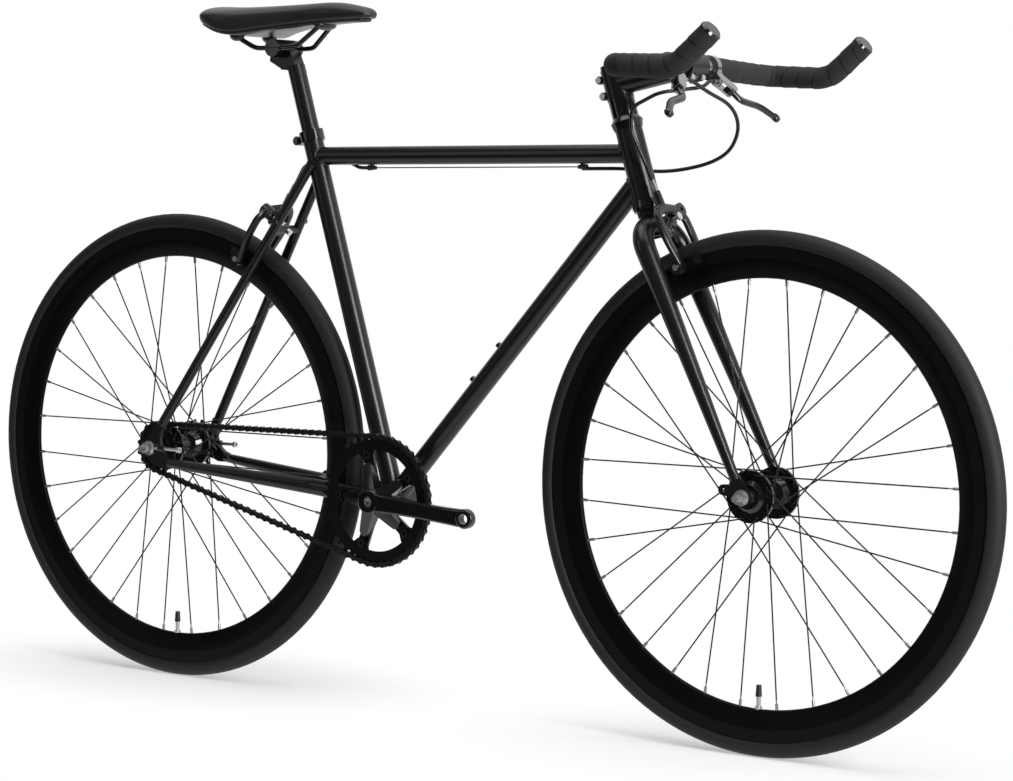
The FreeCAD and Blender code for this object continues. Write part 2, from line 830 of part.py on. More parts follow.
def chainring():
    """A flat ring: teeth outside, an open middle, and five tabs for the bolts."""
    rim_inside = ring_radius - chainring_web
    ring = sprocket(ring_teeth, top_tangent, rim_inside)
    half = tooth_thickness / 2
    tabs = []
    for angle in spider_angles():
        tip = V(bolt_circle * math.cos(angle), 0, bolt_circle * math.sin(angle))
        root = tip * ((rim_inside + 3) / bolt_circle)
        tab = links([(tip.x, tip.z, spider_tip_radius), (root.x, root.z, spider_tip_radius + 5)],
                    -half, half)
        tab = placed(tab, V(0, 0, 0), X, Z, V(0, -1, 0))
        tabs.append(tab.common(across((-half, half), rim_inside + 3)))
    ring = fused([ring] + tabs)
    return ring.cut(Part.makeCompound(bolt_holes(chainring_bolt_radius)))


def spider_angles():
    """The crank arm lies midway between two of the spider's arms."""
    step = 2 * math.pi / spider_arms
    return [math.radians(crank_angle) + step * (k + 0.5) for k in range(spider_arms)]


def bolt_holes(radius):
    """Round bars through the bolt circle, long enough to pierce ring and spider."""
    places = [V(bolt_circle * math.cos(angle), 0,
                bolt_circle * math.sin(angle)) for angle in spider_angles()]
    return [across((-20, 20), radius, 0, place) for place in places]


ring_outer_face = chain_line + tooth_thickness / 2
ring_inner_face = chain_line - tooth_thickness / 2
crank_low = shell_width / 2 + cup_flange + crank_clearance
ring_bolt_head = 1.5
ring_bolt_rim = 1.3
arm_reach = V(math.cos(math.radians(crank_angle)), 0, math.sin(math.radians(crank_angle)))
arm_up = V(-arm_reach.z, 0, arm_reach.x)


def square_bore():
    """The square hole for the spindle, along z."""
    side = spindle_square + 2 * run_gap
    return Part.makeBox(side, side, spindle_length, V(-side / 2, -side / 2, 0))


def crank_arm():
    """One crank arm along +x, drawn with z outward: a smooth blade between a round boss and the pedal eye."""
    blade = Part.makeLoft([plank(*station, crank_edge) for station in crank_stations], True, False)
    boss = soft_disc(crank_boss_radius, crank_low, crank_boss_face, V(0, 0, 0), crank_edge)
    eye = soft_disc(crank_eye_radius, pedal_face - crank_thickness, pedal_face,
                    V(crank_length, 0, 0), crank_edge)
    arm = fused([blade, boss, eye]).cut(square_bore())
    arm = arm.cut(Part.makeCylinder(crank_bolt_radius + 1.5, pedal_face, V(0, 0, spindle_length / 2)))
    return arm.cut(Part.makeCylinder(pedal_thread_radius, 2 * pedal_face, V(crank_length, 0, 0)))


def spider():
    """Five arms that slope down from the crank's boss, each with a thin tab behind the ring."""
    arms = []
    tabs = []
    for angle in spider_angles():
        arm = links([(0, 0, spider_root_half), (spider_knee - spider_knee_half, 0, spider_knee_half)],
                    crank_low, spider_root_face)
        tab = links([(crank_boss_radius, 0, spider_knee_half), (bolt_circle, 0, spider_tip_radius)],
                    crank_low, ring_inner_face)
        for piece, group in ((arm, arms), (tab, tabs)):
            piece.rotate(V(0, 0, 0), Z, math.degrees(angle))
            group.append(piece)
    spread = (spider_knee - crank_boss_radius) / (spider_root_face - spider_knee_face)
    height = spider_root_face - crank_low
    slope = Part.makeCone(crank_boss_radius + spread * height, crank_boss_radius, height,
                          V(0, 0, crank_low))
    return fused([fused(arms).common(slope)] + tabs)


def ring_bolt(angle):
    """A bolt whose head lies on the ring and whose nut lies behind the spider's tab."""
    place = bottom_bracket + V(bolt_circle * math.cos(angle), 0, bolt_circle * math.sin(angle))
    head_face = ring_outer_face + ring_bolt_head
    nut_face = crank_low - ring_bolt_head
    shank = across((-head_face, -nut_face), chainring_bolt_radius - run_gap, 0, place)
    head = across((-head_face, -ring_outer_face), chainring_bolt_radius + ring_bolt_rim, 0, place)
    nut = across((-crank_low, -nut_face), chainring_bolt_radius + ring_bolt_rim, 0, place)
    socket = hexagon(place - Y * (head_face + 1), place - Y * (head_face - 3), 5.0)
    return fused([shank, head, nut]).cut(socket)


def cranks():
    """Both cranks, the ring and what holds them on the spindle."""
    centre = bottom_bracket
    own_spider = placed(spider(), V(0, 0, 0), X, Z, V(0, -1, 0))
    right = placed(crank_arm(), V(0, 0, 0), arm_reach, arm_up, V(0, -1, 0))
    bore = placed(square_bore(), V(0, 0, 0), arm_reach, arm_up, V(0, -1, 0))
    recess = across((-pedal_face, -spindle_length / 2), crank_bolt_radius + 1.5)
    sleeve = [hole.translated(V(0, -ring_outer_face, 0)) for hole in bolt_holes(chainring_bolt_radius)]
    right = fused([right, own_spider]).cut(Part.makeCompound(sleeve)).cut(bore).cut(recess)
    save("right_crank", right.translated(centre))
    left = placed(crank_arm(), V(0, 0, 0), arm_reach * -1, arm_up, V(0, 1, 0))
    save("left_crank", left.translated(centre))
    save("chainring", chainring().translated(centre + drive_plane))
    half = spindle_length / 2
    bolt_face = V(0, half, 0)
    bolt_end = V(0, crank_boss_face - 1, 0)
    washer_face = bolt_face + V(0, 3, 0)
    bolt = fused([rod(bolt_face, washer_face, crank_bolt_radius + 1.2),
                  rod(washer_face, bolt_end, crank_bolt_radius)])
    bolt = bolt.cut(hexagon(washer_face, bolt_end + Y, 8.0))
    ring_bolts = [ring_bolt(angle) for angle in spider_angles()]
    save("crank_bolts", *ring_bolts, bolt.translated(centre), mirrored(bolt).translated(centre))
    square_low = crank_low - side_gap
    shaft = across((-square_low, square_low), spindle_radius)
    end = Part.makeBox(spindle_square, half - square_low, spindle_square,
                       V(-spindle_square / 2, square_low, -spindle_square / 2))
    end.rotate(V(0, 0, 0), Y, -crank_angle)
    save("bottom_bracket_spindle", fused([shaft, end, mirrored(end)]).translated(centre))


cranks()
save("chain", *chain())
cog = sprocket(cog_teeth, cog_phase(), cog_thread_radius + run_gap)
lock_low = chain_line + tooth_thickness / 2 + 0.1
lockring = across((-lock_low - lockring_thickness, -lock_low), lockring_radius,
                  cog_thread_radius + run_gap)
for k in range(4):
    notch = Part.makeBox(4, lockring_thickness, 5,
                         V(-2, -lock_low - lockring_thickness, lockring_radius - 2))
    notch.rotate(V(0, 0, 0), Y, 90 * k)
    lockring = lockring.cut(notch)
collar_top = chain_line - tooth_thickness / 2
cog_collar = across((-collar_top, -shoulder_y - seat_gap), cog_thread_radius + 4,
                    cog_thread_radius + run_gap)
cog_solid = cog.fuse(cog_collar.translated(V(0, chain_line, 0))).removeSplitter()
save("rear_cog", cog_solid.translated(rear_axle + drive_plane), lockring.translated(rear_axle))
free_ring = sprocket(freewheel_teeth, 0.0, freewheel_race).translated(V(0, chain_line, 0))
free_shell = across((shoulder_y + 1, rear_hub_end - 1.5), freewheel_race + freewheel_shell,
                    freewheel_race)
save("freewheel_sprocket", free_ring.fuse(free_shell).removeSplitter().translated(rear_axle))


# Frame
head_bottom = up_steerer(head_low)
head_top = up_steerer(head_high)
head_solid = rod(head_bottom, head_top, head_tube_radius)
seat_top = up_seat(seat_tube_length)
seat_solid = rod(bottom_bracket, seat_top, seat_tube_radius)
shell_solid = across((-shell_width / 2, shell_width / 2), shell_radius, 0, bottom_bracket)
top_start = up_seat(top_tube_at_seat)
top_end = up_steerer(head_low + top_tube_at_head)
down_end = up_steerer(head_low + down_tube_at_head)
down_along = unit(down_end - bottom_bracket)
down_above = V(-down_along.z, 0, down_along.x)
top_along = unit(top_end - top_start)
top_below = V(top_along.z, 0, -top_along.x)
down_solid = rod(bottom_bracket, down_end, down_tube_radius)
top_solid = rod(top_start, top_end, top_tube_radius)
top_tube = pipe(top_start, top_end, top_tube_radius, top_tube_radius - tube_wall)
down_tube = pipe(bottom_bracket, down_end, down_tube_radius, down_tube_radius - tube_wall)
seat_tube = pipe(bottom_bracket, seat_top, seat_tube_radius, seat_tube_bore)
save("head_tube", pipe(head_bottom, head_top, head_tube_radius, head_tube_radius - head_tube_wall))
save("seat_tube", seat_tube.cut(shell_solid))
save("top_tube", top_tube.cut(head_solid).cut(seat_solid))
cup_room = rod(up_steerer(cup_low), head_bottom, cup_radius + seat_gap)
down_tube = down_tube.cut(head_solid).cut(shell_solid).cut(seat_solid).cut(top_solid).cut(cup_room)
bottle_bolts = []
for distance in (bottle_low, bottle_low + bottle_pitch):
    seat_point = bottom_bracket + down_along * distance
    face_point = seat_point + down_above * down_tube_radius
    boss_top = face_point + down_above * 1.5
    down_tube = down_tube.cut(rod(seat_point, boss_top, bolt_radius + run_gap))
    shank = rod(face_point - down_above * 8, boss_top, bolt_radius)
    head = rod(boss_top - down_above * 1.3, boss_top + down_above * bolt_head, bolt_head_radius)
    head = head.cut(down_solid)
    socket = hexagon(boss_top + down_above, boss_top + down_above * (bolt_head + 1), 4.0)
    bottle_bolts.append(fused([shank, head]).cut(socket))
save("down_tube", down_tube)
save("bottom_bracket_shell",
     across((-shell_width / 2, shell_width / 2), shell_radius, shell_bore, bottom_bracket))
cup_bore = spindle_radius + run_gap
cup = fused([across((shell_width / 2, shell_width / 2 + cup_flange), cup_flange_radius, cup_bore),
             across((8, shell_width / 2), shell_bore - run_gap, cup_bore)])
save("bottom_bracket_cups", cup.translated(bottom_bracket), mirrored(cup).translated(bottom_bracket))


def oval(centre, along, height, width):
    """An upright oval across a stay."""
    return ring(centre, unit(along.cross(Y)) * (height / 2), Y * (width / 2))


track_inside = rear_hub_width / 2
track_middle = track_inside + track_end_thickness / 2
stay_tip = rear_axle + V(chainstay_tip_ahead, track_middle, -chainstay_tip_drop)
stay_root = bottom_bracket + V(-shell_radius * 0.5, chainstay_at_shell, 0)
stay_heading = unit(V(stay_tip.x - stay_root.x, 0, stay_tip.z - stay_root.z))
stay_waist = stay_root + stay_heading * chainstay_waist_x
stay_waist.y = chainstay_waist_y


def chainstay():
    """The left chainstay: a tall oval at the shell, slimmed beside the tyre, round at the track end."""
    waist_height = chainstay_height - 3
    sections = [oval(stay_root, stay_heading, chainstay_height, chainstay_width),
                oval(stay_waist, stay_heading, waist_height, chainstay_waist_width),
                oval(stay_tip, stay_heading, chainstay_tip_radius * 2, chainstay_tip_radius * 2)]
    return Part.makeLoft(sections, True, True)


stay_up = unit(up_seat(seatstay_top) - rear_axle)
seatstay_low = rear_axle + stay_up * seatstay_tip + V(0, track_middle, 0)
seatstay_high = up_seat(seatstay_top) + V(0, seatstay_top_y, 0)
seatstay_along = unit(seatstay_high - seatstay_low)


def track_end():
    """The left track end: a plate with a slot open to the rear, reaching up and down to the stays."""
    slot_half = rear_axle_radius + seat_gap
    arm = slot_half + track_arm
    rear = -track_slot_behind
    front = track_slot_ahead + slot_half
    up_x = stay_up.x * seatstay_tip
    up_z = stay_up.z * seatstay_tip
    low_x = chainstay_tip_ahead
    low_z = -chainstay_tip_drop

    def at(x, z):
        return V(x, track_inside, z)

    plate = outline(at(rear, slot_half), at(track_slot_ahead, slot_half),
                    (at(front, 0), at(track_slot_ahead, -slot_half)), at(rear, -slot_half),
                    at(rear, -arm + 2),
                    at(rear + 10, -arm), at(low_x - 12, low_z - chainstay_tip_radius),
                    at(low_x + 4, low_z - chainstay_tip_radius),
                    at(low_x + 8, low_z + chainstay_tip_radius),
                    (at(front + 5, 0), at(up_x + 8, up_z)), at(up_x + 4, up_z + 8),
                    at(up_x - 8, up_z + 3),
                    (at(up_x - 16, arm + 10), at(rear + 10, arm)), at(rear, arm - 2))
    body = area(plate).extrude(V(0, track_end_thickness, 0))
    boss = rod(V(front - 3, track_middle, 0), V(front + 8, track_middle, 0), tensioner_boss)
    body = body.fuse(boss).removeSplitter()
    body = body.cut(rod(V(0, track_middle, 0), V(front + 60, track_middle, 0),
                        tensioner_radius + run_gap))
    return body.cut(Part.makeBox(track_slot_ahead, track_end_thickness * 3, 2 * slot_half,
                                 V(0, track_inside - track_end_thickness, -slot_half)))


left_track_end = track_end().translated(rear_axle)
tensioner_tip = rear_axle + V(rear_axle_radius + seat_gap, track_middle, 0)
tensioner_head = tensioner_tip + V(tensioner_overhang + track_slot_ahead, 0, 0)
tensioner = fused([rod(tensioner_tip, tensioner_head, tensioner_radius),
                   rod(tensioner_head, tensioner_head + X * 5, tensioner_radius * 1.7)])
tensioner = tensioner.cut(hexagon(tensioner_head + X * 2, tensioner_head + X * 6, 4.0))
left_chainstay = chainstay().cut(shell_solid).cut(left_track_end)
left_seatstay = rod(seatstay_low, seatstay_high, seatstay_radius).cut(left_track_end)
left_seatstay = left_seatstay.cut(seat_solid)
rack_point = seatstay_high - seatstay_along * rack_boss_from_top
rack_face = rack_point + Y * seatstay_radius
left_seatstay = left_seatstay.cut(rod(rack_point, rack_face + Y * 3, bolt_radius + run_gap))
rack_bolt = fused([rod(rack_point + Y * 0.5, rack_face + Y, bolt_radius),
                   rod(rack_point, rack_face + Y * bolt_head, bolt_head_radius).cut(
                       rod(seatstay_low, seatstay_high, seatstay_radius))])
save("chainstays", left_chainstay, mirrored(left_chainstay))
save("seatstays", left_seatstay, mirrored(left_seatstay))
save("track_ends", left_track_end, mirrored(left_track_end))
save("chain_tensioners", tensioner, mirrored(tensioner))

brake_point = rear_axle + stay_up * calliper_from_axle
stays_at_bridge = seatstay_low + seatstay_along * ((brake_point - rear_axle).Length - seatstay_tip)
bridge_solid = across((-stays_at_bridge.y, stays_at_bridge.y), bridge_radius, 0, brake_point)
rear_out = V(-stay_up.z, 0, stay_up.x)
bridge = bridge_solid.cut(Part.makeCompound([rod(seatstay_low, seatstay_high, seatstay_radius),
                                       rod(V(seatstay_low.x, -seatstay_low.y, seatstay_low.z),
                                           V(seatstay_high.x, -seatstay_high.y, seatstay_high.z),
                                           seatstay_radius)]))
bridge = bridge.cut(rod(brake_point - rear_out * 30, brake_point + rear_out * 30,
                        calliper_bolt_radius + run_gap))
low_bridge_at = stay_root + stay_heading * 40
low_bridge = rod(V(low_bridge_at.x, -chainstay_at_shell, low_bridge_at.z),
                 V(low_bridge_at.x, chainstay_at_shell, low_bridge_at.z), bridge_radius)
low_bridge = low_bridge.cut(chainstay()).cut(mirrored(chainstay()))
stops = []
stop_drop = top_tube_radius + cable_stop_radius + 0.2


def under_top_tube(x):
    """The cable's place below the top tube."""
    along = (x - top_start.x) / top_along.x
    return top_start + top_along * along + top_below * stop_drop


for stop_x, housing_way in ((front_stop_x, top_along), (rear_stop_x, top_along * -1)):
    middle = under_top_tube(stop_x)
    half_stop = housing_way * (cable_stop_length / 2)
    foot = rod(middle, middle - top_below * stop_drop, 3.2)
    barrel = cone(middle - half_stop, middle + half_stop, cable_stop_radius - cable_stop_taper,
                  cable_stop_radius)
    stop = fused([barrel, foot]).cut(top_solid)
    stop = stop.cut(rod(middle, middle + half_stop * 2, housing_radius + run_gap))
    stops.append(stop.cut(rod(middle - half_stop * 2, middle, wire_radius + side_gap)))
save("bridges_and_stops", bridge, low_bridge, *stops)

clamp_low = up_seat(seat_tube_length - seat_clamp_height + 1)
clamp_high = up_seat(seat_tube_length + 1)
clamp_ring = pipe(clamp_low, clamp_high, seat_tube_radius + seat_clamp_wall, seat_tube_radius)
lip = pipe(up_seat(seat_tube_length), clamp_high, seat_tube_radius, post_radius + run_gap * 2)
seat_behind = V(-seat_up.z, 0, seat_up.x)
ears_at = (clamp_low + clamp_high) * 0.5 + seat_behind * (seat_tube_radius + seat_clamp_wall + 4.5)
ear_half = seat_clamp_height / 2 - 1
ears = rod(ears_at - Y * 9, ears_at + Y * 9, ear_half)
ears = ears.cut(seat_solid)
split = Part.makeBox(30, 2, 60, V(0, -1, -30))
split = placed(split, ears_at - seat_behind * 12, seat_behind, Y, seat_behind.cross(Y))
clamp = fused([clamp_ring, lip, ears]).cut(split)
clamp = clamp.cut(rod(ears_at - Y * 20, ears_at + Y * 20, bolt_radius + run_gap))
save("seat_clamp", clamp)
clamp_bolt = fused([rod(ears_at - Y * 9, ears_at + Y * 10, bolt_radius),
                    rod(ears_at - Y * (9 + bolt_head), ears_at - Y * 9, bolt_head_radius)])
save("frame_bolts", *bottle_bolts, rack_bolt, mirrored(rack_bolt), clamp_bolt)


# Headset, fork and steerer
def cup_at(low, flare_up):
    """One headset cup: a ring outside the head tube that holds its bearing."""
    start = up_steerer(low)
    end = up_steerer(low + cup_height)
    body_low, body_high = (cup_radius - 2, cup_radius) if flare_up else (cup_radius, cup_radius - 2)
    body = cone(start, end, body_low, body_high)
    return body.cut(rod(start, end, steerer_radius + run_gap))


save("headset_cups", cup_at(cup_low, False), cup_at(head_high, True))
steerer_top = up_steerer(stem_high - 3)
race = pipe(up_steerer(crown_race_seat), up_steerer(crown_race_seat + crown_race_height),
            cup_radius - 1.5,
            steerer_radius)
steerer_foot = up_steerer(-shoulder_drop - blade_top_radius)
steerer_bore = rod(steerer_foot, steerer_top, steerer_radius - steerer_wall)
steerer_solid = rod(steerer_foot, steerer_top, steerer_radius)
crown_collar = rod(crown, up_steerer(crown_race_seat), steerer_radius + crown_collar_wall)
steerer = fused([steerer_solid, crown_collar]).cut(steerer_bore)
blade_along = unit(steer_ahead * fork_rake - steer_up * fork_length)
blade_out = V(-blade_along.z, 0, blade_along.x)
blade_end = front_axle - blade_along * fork_end_reach + Y * (front_hub_width / 2 + fork_end_thickness / 2)
shoulder = crown + blade_along * shoulder_drop
shoulder_path = route([shoulder, shoulder + Y * blade_spread, blade_end], [blade_bend])
bend_end = shoulder_path.OrderedEdges[1].valueAt(shoulder_path.OrderedEdges[1].LastParameter)
bent_top = swept(Part.Wire(shoulder_path.OrderedEdges[:2]), blade_top_radius)
blade = fused([bent_top, cone(bend_end, blade_end, blade_top_radius, blade_tip_radius)])
left_half = Part.makeBox(2000, 1000, 2000, V(-1000, 0, -200))
blade = blade.common(left_half).cut(steerer_solid).cut(crown_collar)
calliper_hole = front_axle - blade_along * calliper_from_axle
bolt_way = blade_out * (steerer_radius * 3)
calliper_drill = rod(calliper_hole - bolt_way, calliper_hole + bolt_way, calliper_bolt_radius + run_gap)
save("fork_steerer", steerer.cut(calliper_drill))
blade = blade.cut(calliper_drill)


def fork_end():
    """The left fork end: a plate with a slot open downward and a threaded eyelet behind it."""
    slot_half = front_axle_radius + seat_gap
    shape = links([(0, 0, 12.5), (0, fork_end_reach + 6, blade_tip_radius)], 0, fork_end_thickness)
    eyelet = links([(0, 8, 9.0), (-21, 20, 7.0)], 0, fork_end_thickness)
    plate = fused([shape, eyelet])
    plate = plate.cut(links([(0, 0, slot_half), (0, -30, slot_half)], -1, fork_end_thickness + 1))
    plate = plate.cut(Part.makeCylinder(bolt_radius, 20, V(-21, 20, -5)))
    up = blade_along * -1
    ahead = blade_out
    return placed(plate, front_axle + Y * (front_hub_width / 2 + fork_end_thickness), ahead, up,
                  ahead.cross(up))


left_fork_end = fork_end()
blade = blade.cut(left_fork_end)
save("fork_blades", blade, mirrored(blade), left_fork_end, mirrored(left_fork_end))
cap = cone(up_steerer(cap_low), up_steerer(spacer_low), cup_radius, spacer_radius).cut(steerer_solid)
rings = []
for k in range(spacers):
    low = spacer_low + k * spacer_height
    rings.append(pipe(up_steerer(low), up_steerer(low + spacer_height), spacer_radius, steerer_radius))
top_cap = fused([rod(up_steerer(stem_high), up_steerer(stem_high + top_cap_height),
                     stem_clamp_radius - 1),
                 rod(up_steerer(stem_high - 2), up_steerer(stem_high), steerer_radius - run_gap)])
cap_bolt = rod(up_steerer(stem_high - 30), up_steerer(stem_high + top_cap_height - 1.5), 3)
cap_bolt = fused([cap_bolt, rod(up_steerer(stem_high + top_cap_height - 2),
                                up_steerer(stem_high + top_cap_height + 1), 5)])
save("headset_spacers", race, cap, *rings, top_cap.cut(cap_bolt))

# Stem and bar
stem_middle = stem_low + stem_clamp_height / 2
bar_centre = up_steerer(stem_middle - stem_drop) + steer_ahead * stem_reach
stem_along = unit(bar_centre - up_steerer(stem_middle))
stem_above = V(-stem_along.z, 0, stem_along.x)
clamp_half = bar_clamp_width / 2
bar_clamp = across((-clamp_half, clamp_half), bar_clamp_radius, 0, bar_centre)
stem_block = fused([rod(up_steerer(stem_low), up_steerer(stem_high), stem_clamp_radius),
                    rod(up_steerer(stem_middle), bar_centre, stem_radius), bar_clamp])
stem_block = stem_block.cut(rod(up_steerer(stem_low - 5), up_steerer(stem_high + 5), steerer_radius))
stem_block = stem_block.cut(across((-clamp_half, clamp_half), bar_bulge_radius, 0, bar_centre))


def beyond(offset):
    """Everything ahead of the stem's clamp split."""
    block = Part.makeBox(100, 200, 200, V(offset, -100, -100))
    return placed(block, bar_centre, stem_along, Y, stem_along.cross(Y))


bolt_places = [bar_centre + Y * (side * (clamp_half - 8)) + stem_above * (rise * (bar_bulge_radius + 3.4))
               for side in (-1, 1) for rise in (-1, 1)]
lugs = [rod(place - stem_along * 10, place + stem_along * 8, 5.0) for place in bolt_places]
lugs = [lug.cut(across((-clamp_half, clamp_half), bar_bulge_radius, 0, bar_centre)) for lug in lugs]
holes = [rod(place - stem_along * 12, place + stem_along * 14,
             stem_bolt_radius + run_gap) for place in bolt_places]
head_seats = [rod(place + stem_along * 8, place + stem_along * 20,
                  stem_bolt_head + seat_gap) for place in bolt_places]
stem_block = fused([stem_block] + lugs).cut(Part.makeCompound(holes)).cut(Part.makeCompound(head_seats))
rear_bolts = []
steer_behind = steer_ahead * -1
pinch_at = steer_behind * (stem_clamp_radius + 1.0)
for height in (stem_low + 10, stem_high - 10):
    place = up_steerer(height) + pinch_at
    stem_block = stem_block.fuse(rod(place - Y * 11, place + Y * 11, 5.5).cut(
        rod(up_steerer(stem_low - 5), up_steerer(stem_high + 5), steerer_radius)))
    stem_block = stem_block.cut(rod(place - Y * 20, place + Y * 20, stem_bolt_radius + run_gap))
    rear_bolts.append(fused([rod(place - Y * 11, place + Y * 11, stem_bolt_radius),
                             rod(place - Y * 14, place - Y * 11, stem_bolt_head)]))
stem_split = placed(Part.makeBox(20, 1.6, stem_clamp_height + 2, V(0, -0.8, -1)),
                    up_steerer(stem_low) + steer_behind * 10,
                    steer_behind, Y * -1, steer_up)
stem_block = stem_block.cut(stem_split).removeSplitter()
save("stem", stem_block.cut(beyond(-bar_clamp_split / 2)))
save("stem_faceplate", stem_block.common(beyond(bar_clamp_split / 2)))
face_bolts = [fused([rod(place - stem_along * 9, place + stem_along * 8, stem_bolt_radius),
                     rod(place + stem_along * 8, place + stem_along * 11,
                         stem_bolt_head)]) for place in bolt_places]
save("stem_bolts", *face_bolts, *rear_bolts, cap_bolt)

horn = math.radians(bar_horn_rise)
bar_bend_point = bar_centre + V(0, bar_half_width, -bar_sweep_drop)
horn_point = bar_bend_point + V(bar_forward, 0, -bar_forward_drop)
horn_along = V(math.cos(horn), 0, math.sin(horn))
horn_tip = horn_point + horn_along * bar_horn
sweep_from = bar_centre + Y * bar_bulge_half
flat_along = unit(bar_bend_point - sweep_from)
half_points = [bar_bend_point, horn_point, horn_tip]
half_bends = [bar_corner_bend, bar_horn_bend]
long_path = route([bar_centre - Y * bar_radius, sweep_from] + half_points, [bar_sweep_bend] + half_bends)


def along_flat(distance):
    """A point on the bar's flat, measured from its middle."""
    return sweep_from + flat_along * (distance - bar_bulge_half)


half_bar = swept(long_path, bar_radius).common(left_half)
half_bore = swept(long_path, bar_radius - bar_wall).common(left_half)
bulge = across((-bar_bulge_half, bar_bulge_half), bar_bulge_radius - run_gap, 0, bar_centre)
handlebar = fused([half_bar, mirrored(half_bar), bulge]).cut(half_bore).cut(mirrored(half_bore))
save("handlebar", handlebar)
tape_path = route([along_flat(tape_start)] + half_points, half_bends)
left_tape = swept(tape_path, bar_radius + tape_thickness).cut(swept(tape_path, bar_radius + run_gap))
save("bar_tapes", left_tape, mirrored(left_tape))
plug = fused([rod(horn_tip - horn_along * plug_length, horn_tip, bar_radius - bar_wall - run_gap),
              cone(horn_tip, horn_tip + horn_along * plug_cap, bar_radius + tape_thickness, bar_radius)])
save("bar_end_plugs", plug, mirrored(plug))

# Brake levers, drawn in the plane of the bar and the direction the lever hangs in
tilt = math.radians(lever_tilt)
hang = V(math.cos(tilt), 0, -math.sin(tilt))
lever_axis = Y.cross(hang)
clamp_centre = along_flat(lever_clamp_y)
pivot = clamp_centre + Y * (lever_pivot_out - lever_clamp_y) + hang * lever_pivot_drop


def lever_frame(shape, origin):
    """Place a shape drawn with x outward along the bar and y down the lever's hang."""
    return placed(shape, origin, Y, hang, lever_axis)


cheek_low = lever_thickness / 2 + side_gap
pivot_local = (lever_pivot_out - lever_clamp_y, lever_pivot_drop, 7.0)
cheek_line = [(0.0, bar_bulge_radius + lever_clamp_wall + 4.0, 6.0), pivot_local]
clamp_band = across((-lever_clamp_width / 2, lever_clamp_width / 2), bar_radius + lever_clamp_wall,
                    0, clamp_centre)
neck = links([(0.0, bar_radius + 2.0, 7.0), (0.0, bar_bulge_radius + lever_clamp_wall + 4.0, 7.0)],
             -cheek_low - lever_cheek, cheek_low + lever_cheek)
cheeks = [links(cheek_line, cheek_low, cheek_low + lever_cheek),
          links(cheek_line, -cheek_low - lever_cheek, -cheek_low)]
barrel_height = bar_bulge_radius + lever_clamp_wall + 6.5
barrel = rod(V(-4, barrel_height, 0), V(-4 - adjuster_length, barrel_height, 0), adjuster_radius)
bracket = fused([clamp_band] + [lever_frame(piece, clamp_centre) for piece in [neck, barrel] + cheeks])
lever_room = Part.makeCylinder(7.0 + side_gap, 2 * cheek_low,
                               V(pivot_local[0], pivot_local[1], -cheek_low))
bracket = bracket.cut(rod(clamp_centre - flat_along * 30, clamp_centre + flat_along * 30,
                          bar_radius + run_gap))
bracket = bracket.cut(lever_frame(lever_room, clamp_centre))
pin_reach = lever_axis * (cheek_low + lever_cheek)
pin_cut = rod(pivot - pin_reach * 2, pivot + pin_reach * 2, lever_pin_radius + run_gap)
lever_pin = rod(pivot - pin_reach, pivot + pin_reach, lever_pin_radius)
bracket = bracket.cut(pin_cut)
save("lever_brackets", bracket, mirrored(bracket), lever_pin, mirrored(lever_pin))
lever_points = [V(x, y, 0) for x, y in lever_line]
half_lever = lever_thickness / 2
lever_root = Part.makeCylinder(lever_root_radius, lever_thickness, V(0, 0, -half_lever))
lever_bar = oval_bar(lever_points, lever_bends, lever_half_width, half_lever - side_gap)
lever_tip = soft_disc(lever_tip_radius, -half_lever, half_lever, lever_points[-1], lever_tip_edge)
lever = lever_frame(fused([lever_bar, lever_root, lever_tip]), pivot).cut(pin_cut)
save("left_brake_lever", lever)
save("right_brake_lever", mirrored(lever))


# Callipers
calliper_low = calliper_stand_off
calliper_middle = calliper_low + calliper_arm
calliper_high = calliper_middle + side_gap + calliper_arm
pad_u = pad_post_reach
pad_w = pad_from_axle - calliper_from_axle
pad_n = (calliper_low + calliper_high) / 2
horn_u, horn_w = adjuster_horn_line[-1][:2]
horn_n = (calliper_middle + side_gap + calliper_high) / 2
anchor_u, anchor_w = anchor_arm_line[0][:2]


def brake_pad():
    """Block and post, held clear of the brake track by the pad gap."""
    face = rim_half + pad_gap
    block = Part.makeBox(pad_thickness, pad_height, pad_length,
                         V(face, pad_w - pad_height / 2, pad_n - pad_length / 2))
    post = rod(V(face + pad_thickness - 1, pad_w, pad_n), V(pad_u + 9, pad_w, pad_n), pad_post_radius)
    return block.fuse(post).removeSplitter()


def calliper_hole_at(u, w, radius):
    """A hole along the calliper's bolts."""
    return Part.makeCylinder(radius, 2 * calliper_high, V(u, w, 0))


def calliper_bar(line, bends, low):
    """A smooth arm along a line drawn across and up, one arm thick from n = low."""
    middle = low + calliper_arm / 2
    half_thick = calliper_arm / 2 - side_gap
    return oval_bar([V(u, w, middle) for u, w in line], bends, calliper_arm_half, half_thick)


def calliper_boss(u, w, radius, low):
    """A round boss, one arm thick from n = low."""
    return Part.makeCylinder(radius, calliper_arm, V(u, w, low))


